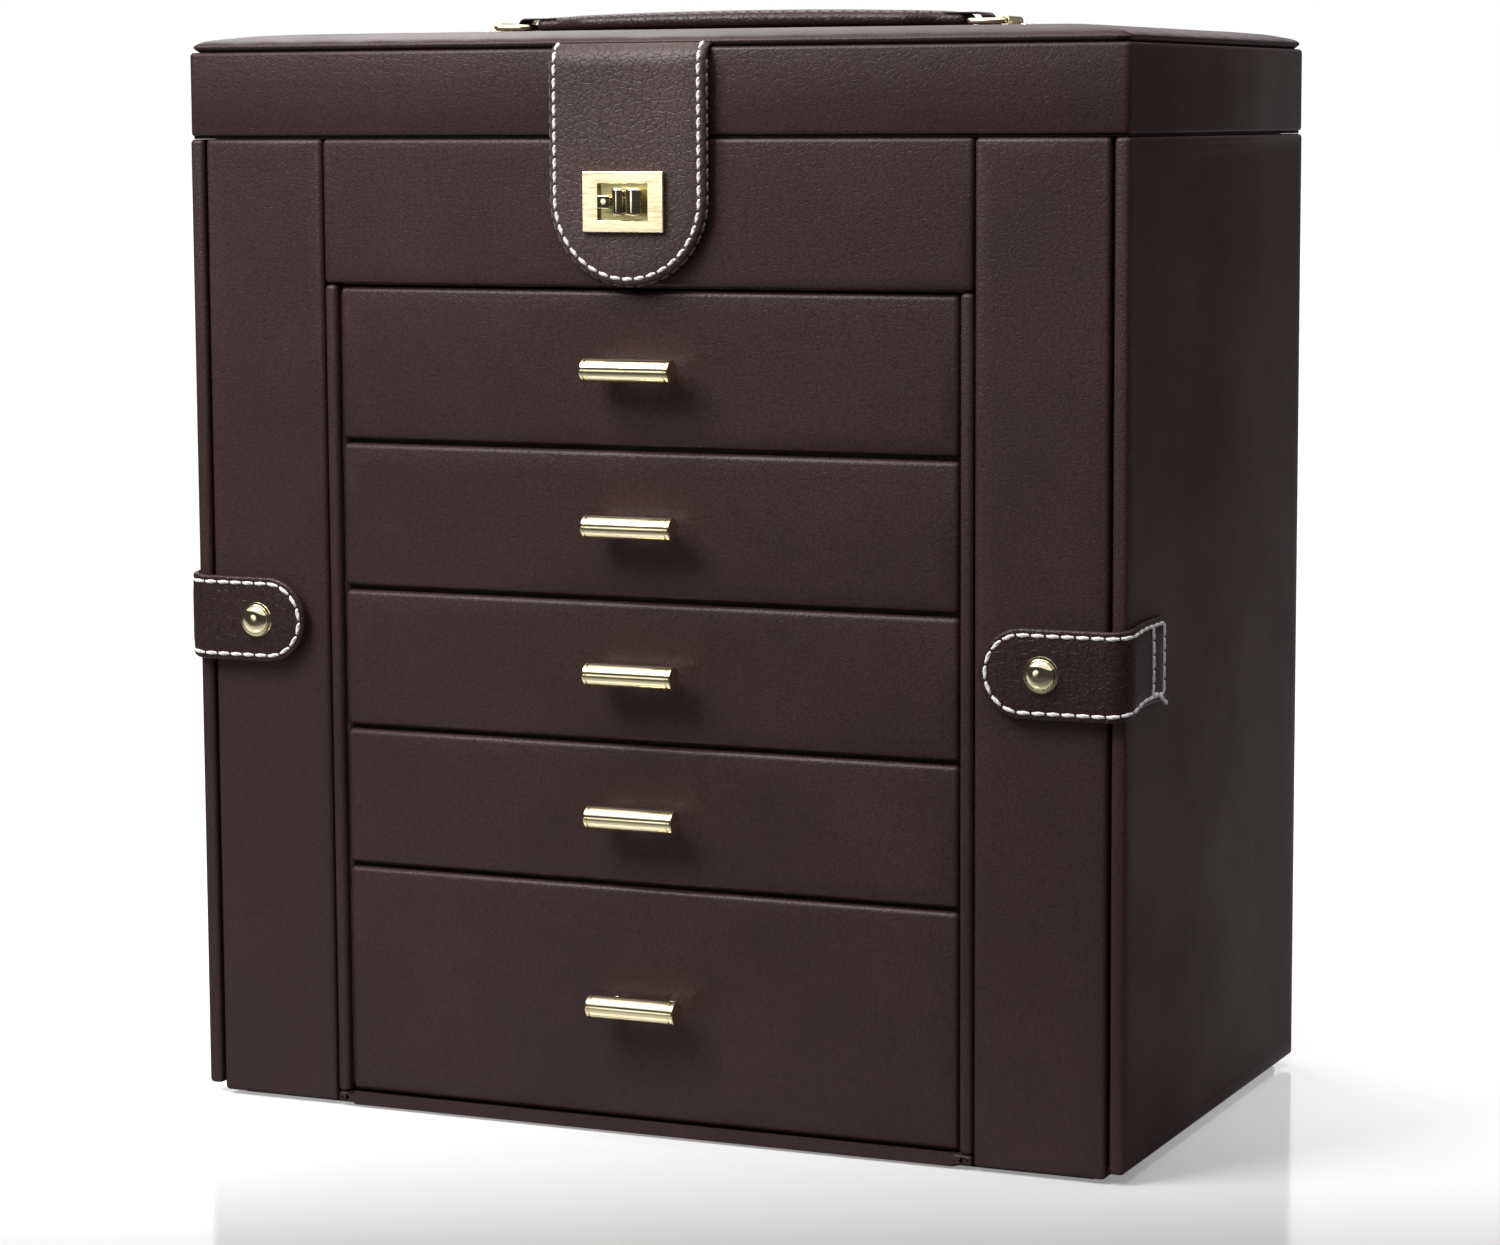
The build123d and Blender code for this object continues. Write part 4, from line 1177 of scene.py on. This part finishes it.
# Handle brackets
# Small stamped feet of gold plate, riveted to the lid through the pad. Each is
# rolled up at its inner edge into a barrel for the ring.


def side_box(name, x_way, x_ends, low_y, high_y, low_z, high_z):
    """A box between two distances from the middle, on one side of the organizer."""
    near_x, far_x = sorted(x_way * x for x in x_ends)
    return start_box(name, (near_x, low_y, low_z), (far_x, high_y, high_z))


ring_wire = 0.9 * mm
ring_low, ring_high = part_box("right_handle_ring")
ring_z = (ring_low.z + ring_high.z) / 2
axis_x = ring_high.x - ring_wire
foot_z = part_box("lid_pad")[1].z
foot_half = 6 * mm
barrel_radius = 1.6 * mm
bore = ring_wire + 0.08 * mm
lip = 0.15 * mm
foot_ends = (axis_x - barrel_radius + 0.6 * mm, axis_x - barrel_radius + 10.5 * mm)
web_ends = (axis_x - barrel_radius * 0.9, axis_x + barrel_radius * 0.9)
web_top = ring_z - ring_wire - 0.25 * mm
rivet_profile = arc_profile(1.5 * mm, 0.75 * mm, 6) + [(0, 0)]
for side, x_way in sides:
    foot = side_box(side + "_bracket", x_way, foot_ends, -foot_half, foot_half, foot_z, foot_z + 0.8 * mm)
    round_edges(
        foot, 1.6 * mm, 5,
        lambda edge: span(edge, 2) > 0.1 * mm and abs(edge.verts[0].co.x) > axis_x + 1 * mm,
    )
    round_edges(foot, 0.2 * mm, 2, lambda edge: edge.verts[0].co.z > foot_z + 0.7 * mm < edge.verts[1].co.z)
    web = side_box("bracket_web", x_way, web_ends, -foot_half, foot_half, foot_z + 0.1 * mm, web_top)
    round_edges(web, 0.15 * mm, 2)
    barrel = lathe(
        "bracket_barrel",
        [(bore, -foot_half), (barrel_radius - lip, -foot_half), (barrel_radius, lip - foot_half),
         (barrel_radius, foot_half - lip), (barrel_radius - lip, foot_half), (bore, foot_half),
         (bore, -foot_half)],
        (x_way * axis_x, 0, ring_z), front_way, 28,
    )
    parts = [foot, web, barrel]
    for rivet_y in (-3 * mm, 3 * mm):
        rivet_at = (x_way * (axis_x + 5.2 * mm), rivet_y, foot_z + 0.75 * mm)
        parts.append(lathe("bracket_rivet", rivet_profile, rivet_at, up_way, 20))
    bracket = paint(join_pieces(side + "_bracket", parts), pale_gold)
    finish_piece(bracket, "lid", *(["handle_brackets"] if side == "left" else []), smooth=40)

# Handle rings
# Wire bent into a flat ring, which turns in its bracket and carries one end of
# the handle.


def bent_wire(name, points, radius, closed=False):
    """A round wire that follows a run of points."""
    line = bpy.data.curves.new(name, "CURVE")
    line.dimensions = "3D"
    line.bevel_depth = radius
    line.bevel_resolution = 4
    line.use_fill_caps = True
    run = line.splines.new("POLY")
    run.points.add(len(points) - 1)
    for place, point in zip(run.points, points):
        place.co = (*point, 1)
    run.use_cyclic_u = closed
    choose(add_object(name, line))
    bpy.ops.object.convert(target="MESH")
    return bpy.context.object


ring_corner = 1.9 * mm
for side, x_way in sides:
    low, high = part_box(side + "_handle_ring")
    centre = (low + high) / 2
    half = Vector(((high.x - low.x) / 2 - ring_wire, (high.y - low.y) / 2 - ring_wire))
    corners = []
    for quarter, (corner_x, corner_y) in enumerate(((1, 1), (-1, 1), (-1, -1), (1, -1))):
        for step in range(7):
            turn = (quarter + step / 6) * math.pi / 2
            corners.append((
                centre.x + corner_x * (half.x - ring_corner) + ring_corner * math.cos(turn),
                centre.y + corner_y * (half.y - ring_corner) + ring_corner * math.sin(turn),
                centre.z,
            ))
    ring = paint(bent_wire(side + "_ring_wire", corners, ring_wire, True), pale_gold)
    finish_piece(ring, side + "_handle_ring", side + "_handle_ring", smooth=60)

# Carrying handle
# A padded strap of leatherette, stitched along both edges and narrower at its
# ends, where a folded tab loops round each ring.

grip_low, grip_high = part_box("handle_strap")
grip_half = (grip_high.y - grip_low.y) / 2
grip_end_half = 6 * mm
grip_end = 71.3 * mm
grip_loop = grip_high.x
grip_bow = 0.2 * mm
grip_sag = 0.3 * mm
grip_top_bow = 1.6 * mm
grip_corner = 2 * mm
grip_thickness = grip_high.z - grip_low.z + grip_sag - grip_bow


def grip_faces(x):
    """The heights of the handle's underside and top."""
    share = (x / grip_loop) ** 2
    return grip_low.z - grip_sag + grip_bow * (1 - share), grip_high.z - grip_top_bow * share


def grip_place(along, across):
    """The middle of the handle's thickness, the way its top faces, and its share of the thickness."""
    x = along - grip_end
    low, high = grip_faces(x)
    slope = -(grip_bow + grip_top_bow) * x / grip_loop ** 2
    facing = Vector((-slope, 0, 1)).normalized()
    return Vector((x, across, (low + high) / 2)), facing, (high - low) / grip_thickness


def grip_half_at(along):
    """Half the handle's width at a distance along it, with its corners rounded."""
    from_end = min(along, 2 * grip_end - along)
    half = grip_end_half + (grip_half - grip_end_half) * smooth_step(from_end, 7 * mm, 18 * mm)
    if from_end < grip_corner:
        half -= grip_corner - math.sqrt(grip_corner ** 2 - (grip_corner - from_end) ** 2)
    return half


grip_stations = [grip_end * (1 - math.cos(math.pi * row / 130)) for row in range(131)]
grip = sewn_band(
    "handle_grip", grip_stations, grip_half_at,
    lambda along, across: min(grip_half_at(along) - abs(across), along, 2 * grip_end - along),
    grip_place, grip_thickness,
)
finish_piece(paint(grip, strap_leatherette), "handle", "handle_strap", smooth=80)
for edge, name in ((-1, "front"), (1, "back")):
    stops = [3 * mm + (2 * grip_end - 6 * mm) * step / 100 for step in range(101)]
    height = sewn_height(stitch_inset, grip_thickness)
    line = [on_front(grip_place, at, edge * (grip_half_at(at) - stitch_inset), height) for at in stops]
    row = sew(f"handle_{name}_stitches", line, brown_thread)
    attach(row, "handle")


def folded_strip(name, path, across, width, thickness):
    """A closed strip of even thickness that follows a path in one plane."""
    points = []
    for step, point in enumerate(path):
        before, after = path[max(step - 1, 0)], path[min(step + 1, len(path) - 1)]
        facing = (after - before).cross(across).normalized()
        for edge in (-1, 1):
            for face in (-1, 1):
                points.append(point + across * edge * width / 2 + facing * face * thickness / 2)
    faces = [(0, 1, 3, 2), tuple(4 * (len(path) - 1) + corner for corner in (0, 2, 3, 1))]
    for first in range(0, 4 * len(path) - 4, 4):
        for one, next_one in ((0, 1), (1, 3), (3, 2), (2, 0)):
            faces.append((first + one, first + next_one, first + 4 + next_one, first + 4 + one))
    strip = close_mesh(start_mesh(name, points, [], faces), 0.001 * mm)
    round_edges(strip, thickness * 0.3, 2, is_sharp)
    return strip


tab_thickness = 0.5 * mm
tab_half = 5.5 * mm
tab_start = 65 * mm
tab_low = grip_low.z + tab_thickness / 2
tab_high = grip_faces(grip_loop)[1] - tab_thickness / 2
tab_radius = (tab_high - tab_low) / 2
tab_round_x = grip_loop - tab_thickness / 2 - tab_radius
tab_round_z = (tab_low + tab_high) / 2
tab_turns = [math.pi * (0.5 - step / 16) for step in range(17)]
tab_path = [(tab_start, tab_high)]
for turn in tab_turns:
    tab_path.append((tab_round_x + tab_radius * math.cos(turn), tab_round_z + tab_radius * math.sin(turn)))
tab_path.append((tab_start, tab_low))
for side, x_way in sides:
    path = [Vector((x_way * x, 0, z)) for x, z in tab_path]
    tab = folded_strip(side + "_handle_tab", path, Vector(back_way), 2 * tab_half, tab_thickness)
    finish_piece(paint(tab, strap_leatherette), "handle", smooth=60)

# Hinges
# Pressed brass butts on steel pins, screwed to the back of the case, to the lid
# and to the back edges of the doors.

hinge_brass = plated_metal(
    "hinge_brass", (0.52, 0.35, 0.13), (0.70, 0.50, 0.22), 0.25, 0.42, "hinge_brass"
)
for node in ("hinge_pins", "case_hinge_leaves", "lid_hinge_leaves", "left_door_hinge_leaves",
             "right_door_hinge_leaves"):
    paint(nodes[node], hinge_brass)


def screw_head(radius, point, outward):
    """A low domed screw head with a cross cut into it."""
    head = lathe("screw_head", arc_profile(radius, radius * 0.3, 5) + [(0, -0.1 * mm)], (0, 0, 0), up_way, 24)
    for length, width in ((1.1, 0.24), (0.24, 1.1)):
        slot_half = Vector((length / 2, width / 2, 0.5)) * radius
        slot_middle = Vector((0, 0, radius * 0.6))
        carve(head, start_box("cutter", slot_middle - slot_half, slot_middle + slot_half))
    return settle(head, point, outward)


leaf_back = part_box("back_panel")[1].y + 1.2 * mm
lid_hinge_z = lid_low.z - 0.4 * mm
screw_reach = 8 * mm
screw_rise = 7.6 * mm
screw_radius = 1.9 * mm
lid_hinge_x = 95 * mm
door_hinge_heights = (60 * mm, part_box("back_panel")[1].z - 60 * mm)
door_axis_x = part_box("right_door_panel")[0].x - 0.5 * mm
screws = {"case": [], "lid": [], "left_door": [], "right_door": []}
for hinge_x in (-lid_hinge_x, lid_hinge_x):
    for shift in (-screw_reach, screw_reach):
        for body, rise in (("case", -screw_rise), ("lid", screw_rise)):
            screws[body].append((screw_radius, hinge_x + shift, lid_hinge_z + rise))
for side, x_way in sides:
    for height in door_hinge_heights:
        for shift in (-screw_reach, screw_reach):
            door_place = screw_radius / 2, x_way * (door_axis_x + 3.2 * mm), height + shift * 1.3
            screws["case"].append((screw_radius, x_way * (door_axis_x - screw_rise), height + shift))
            screws[side + "_door"].append(door_place)
for body, places in screws.items():
    heads = [screw_head(radius, (x, leaf_back, z), back_way) for radius, x, z in places]
    finish_piece(paint(join_pieces(body + "_screws", heads), hinge_brass), body, smooth=30)

# Necklace hooks
# A gold plated strip, screwed high on the inside of each door, with four bent
# wire hooks soldered to it.

hook_total = 4
hook_pitch = 32 * mm
hook_wire = 1.2 * mm
hook_rise = 6.5 * mm
hook_bend = 1.8 * mm
hook_strip = 1.2 * mm
for side, x_way in sides:
    hooks_low, hooks_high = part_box(side + "_door_hooks")
    door_face = min(abs(corner.x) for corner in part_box(side + "_door_panel"))
    strip_face = door_face - hook_strip
    hook_tip = min(abs(hooks_low.x), abs(hooks_high.x)) + hook_wire
    strip = side_box(
        side + "_hook_strip", x_way, (strip_face, door_face),
        hooks_low.y, hooks_high.y, hooks_low.z, hooks_high.z,
    )
    round_edges(strip, 3 * mm, 6, lambda edge: span(edge, 0) > 1 * mm)
    round_edges(strip, 0.25 * mm, 2, is_sharp)
    parts = [strip]
    peg_z = hooks_low.z + 2 * hook_wire
    run = [(strip_face + 0.3 * mm, peg_z), (hook_tip + hook_bend + 2 * mm, peg_z)]
    for step in range(9):
        turn = math.pi / 2 * step / 8
        run.append((hook_tip + hook_bend * (1 - math.sin(turn)), peg_z + hook_bend * (1 - math.cos(turn))))
    run.append((hook_tip, peg_z + hook_rise - 0.4 * mm))
    for number in range(hook_total):
        hook_y = (number - (hook_total - 1) / 2) * hook_pitch
        parts.append(bent_wire("hook", [(x_way * x, hook_y, z) for x, z in run], hook_wire * 0.85))
        choose()
        bpy.ops.mesh.primitive_uv_sphere_add(
            segments=20, ring_count=12, radius=hook_wire * 1.15,
            location=(x_way * hook_tip, hook_y, peg_z + hook_rise - 0.2 * mm),
        )
        parts.append(bpy.context.object)
    for screw_y in (hooks_low.y + 4 * mm, hooks_high.y - 4 * mm):
        screw_at = (x_way * strip_face, screw_y, (hooks_low.z + hooks_high.z) / 2)
        parts.append(screw_head(1.8 * mm, screw_at, (-x_way, 0, 0)))
    hooks = paint(join_pieces(side + "_necklace_hooks", parts), pale_gold)
    finish_piece(hooks, side + "_door", side + "_door_hooks", smooth=40)

# Door pockets
# A gathered pocket of suede cloth low on the inside of each door, with a hem
# over an elastic at its mouth. Necklaces hang down into it.

cloth_thickness = 0.7 * mm
cloth_back = cloth_thickness * 0.6
fold_depth = 1.9 * mm
tuck_depth = 0.9 * mm
pocket_edge = 0.4 * mm
for side, x_way in sides:
    pocket_low, pocket_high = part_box(side + "_door_pocket")
    pocket_half = (pocket_high.y - pocket_low.y) / 2
    pocket_out = pocket_high.x - pocket_low.x
    door_face = max(abs(pocket_low.x), abs(pocket_high.x))
    pocket_rise = pocket_high.z - pocket_low.z
    pocket = start_grid(side + "_pocket", 180, 60)
    for vertex in pocket.data.vertices:
        across, share = vertex.co.x, (vertex.co.y + 1) / 2
        height = share * pocket_rise
        turn = math.pi / 2 * across
        inner = abs(across) < 1
        width_share = math.sin(turn) if inner else math.copysign(1, across)
        belly = math.cos(turn) ** 0.6 if inner else 0
        floor_curve = math.sqrt(1 - (1 - min(height / (16 * mm), 1)) ** 2)
        mouth = smooth_step(height, pocket_rise - 26 * mm, pocket_rise - 6 * mm)
        gathers = math.sin(across * 33 + 1.4 * math.sin(across * 7 + 1))
        gathers *= 0.7 + 0.3 * math.sin(across * 13 + share * 2)
        folds = gathers * (0.4 + 0.6 * mouth + 0.35 * math.exp(-height / (7 * mm)))
        tuck = math.exp(-((height - pocket_rise + 6.5 * mm) / (0.9 * mm)) ** 2)
        out = belly * floor_curve * (pocket_out - fold_depth) * (1 - 0.32 * mouth) + cloth_back
        out += min(belly * 1.6, 1) * min(floor_curve * 1.5, 1) * (fold_depth * folds - tuck_depth * tuck)
        vertex.co = (
            x_way * (door_face - max(out, cloth_back)), width_share * (pocket_half - pocket_edge),
            pocket_low.z + pocket_edge + height * 0.985,
        )
    thicken = pocket.modifiers.new("thicken", "SOLIDIFY")
    thicken.thickness = cloth_thickness
    thicken.offset = 0
    bpy.ops.object.modifier_apply(modifier=thicken.name)
    close_mesh(pocket, 0.001 * mm)
    finish_piece(paint(pocket, beige_suede), side + "_door", side + "_door_pocket", smooth=80)

bpy.data.objects.remove(stitch)

# Table and studio
# A glossy table top and a white backdrop. The top is pale behind and painted darker in front,
# and darker still for the light that it bounces onto the box and in the box's reflections:
# painted shade, which shades the box's lower front and darkens its reflections.
# The room is dark at the sides and bright above, with a small window in front.

choose()
bpy.ops.mesh.primitive_plane_add(size=30, location=(0, 0, 0))
floor = bpy.context.object
floor.name = "floor"
floor_paint, floor_tree, floor_shader = start_material(
    "table_top", None, Roughness=0.1, Specular_IOR_Level=0.5, Emission_Color=(1, 1, 1, 1)
)
view_way = (-0.404, 0.915, 0)
fade_start = -0.36
least_fade = 0.42
floor_glow = 0.35


def way_share(tree, place, way, low, high):
    """A mask that rises from 0 to 1 along a way."""
    lean = shader_node(tree, "VectorMath", {0: place, 1: way}, operation="DOT_PRODUCT")["Value"]
    return remap(tree, lean, low, high, way="SMOOTHSTEP")


# Painted shade: the top darkens towards the front, to a light grey for the camera and to near black for other
# rays.
floor_painted_front_shade = way_share(floor_tree, object_place(floor_tree), view_way, fade_start, 0)
floor_light = shader_node(floor_tree, "LightPath", {})
floor_least = maths(floor_tree, "MULTIPLY", floor_light["Is Camera Ray"], least_fade)
floor_shown = maths(floor_tree, "MAXIMUM", floor_painted_front_shade, floor_least)
floor_colour = shade_between(floor_tree, floor_shown, (0.09, 0.09, 0.09), (0.86, 0.855, 0.85))
# Painted shade: all over, the top is darker for the light that it bounces and in the reflections that it
# gives.
painted_reflection_shade = maths(floor_tree, "MULTIPLY", floor_light["Is Glossy Ray"], 0.3)
floor_painted_bounce_shade = maths(floor_tree, "MULTIPLY_ADD", floor_light["Is Diffuse Ray"], 0.6, painted_reflection_shade)
floor_seen = maths(floor_tree, "MULTIPLY", floor_light["Is Camera Ray"], floor_shown)
set_inputs(floor_tree, floor_shader, {
    "Base Color": shader_node(
        floor_tree, "Mix", {"Factor": floor_painted_bounce_shade, 6: floor_colour, 7: (0, 0, 0, 1)}, data_type="RGBA"
    )[2],
    "Emission Strength": maths(floor_tree, "MULTIPLY", floor_seen, floor_glow),
})
paint(floor, floor_paint)

world = bpy.data.worlds.new("studio")
bpy.context.scene.world = world
world.use_nodes = True
studio = world.node_tree
ray = shader_node(studio, "LightPath", {})
studio_way = shader_node(studio, "TexCoord", {})["Generated"]
rise = shader_node(studio, "SeparateXYZ", {0: studio_way})["Z"]


def studio_mix(mask, first, second):
    """One brightness of the studio over another, by a mask."""
    return shader_node(studio, "Mix", {0: mask, 2: first, 3: second}, data_type="FLOAT")[0]


window_way = (-0.432, -0.902, 0)
right_back_way = (0.404, 0.915, 0)
wall_zones = (
    (window_way, 0.99, 0.995, 1.6), (right_back_way, 0.75, 0.97, 0.2), (view_way, 0.9, 0.945, 1),
)
room = remap(studio, rise, 0.4, 0.47, 0.05, 1, "SMOOTHSTEP")
for way, edge, full, brightness in wall_zones:
    room = studio_mix(way_share(studio, studio_way, way, edge, full), room, brightness)
shine = maths(studio, "MAXIMUM", ray["Is Glossy Ray"], ray["Is Transmission Ray"])
room = studio_mix(ray["Is Camera Ray"], studio_mix(shine, 0.29, room), 1)
set_inputs(studio, studio.nodes["Background"], {"Color": room})


organizer_middle = Vector((0, 0, 0.17))


def lamp(name, place, size, power):
    """A soft square lamp that faces the middle of the organizer."""
    data = bpy.data.lights.new(name, "AREA")
    data.size = size
    data.energy = power
    made = add_object(name, data)
    made.location = place
    made.rotation_mode = "QUATERNION"
    made.rotation_quaternion = (organizer_middle - Vector(place)).to_track_quat("-Z", "Y")


lamp("window_lamp", (-0.4, -0.58, 0.88), 0.5, 10.3)
lamp("ceiling_lamp", (0, -0.25, 1.5), 1.2, 13)
lamp("back_lamp", (-1.2, 1.3, 1.5), 1.0, 8)

# Camera
# It stands to the right in front, just below the lid's top, as in the photograph.
# Its lens is long, and it looks slightly down.

camera_data = bpy.data.cameras.new("camera")
camera_data.lens = 99.065
camera_data.sensor_width = 36
camera = add_object("camera", camera_data)
camera_place = (0.5153, -1.1698, 0.3015)
camera_turn, camera_dip, camera_roll = 23.85, 6.99, -0.28
camera.matrix_world = (
    Matrix.Translation(camera_place)
    @ Matrix.Rotation(math.radians(camera_turn), 4, "Z")
    @ Matrix.Rotation(math.radians(90 - camera_dip), 4, "X")
    @ Matrix.Rotation(math.radians(camera_roll), 4, "Z")
)
bpy.context.scene.camera = camera
bpy.context.scene.view_settings.view_transform = "Standard"
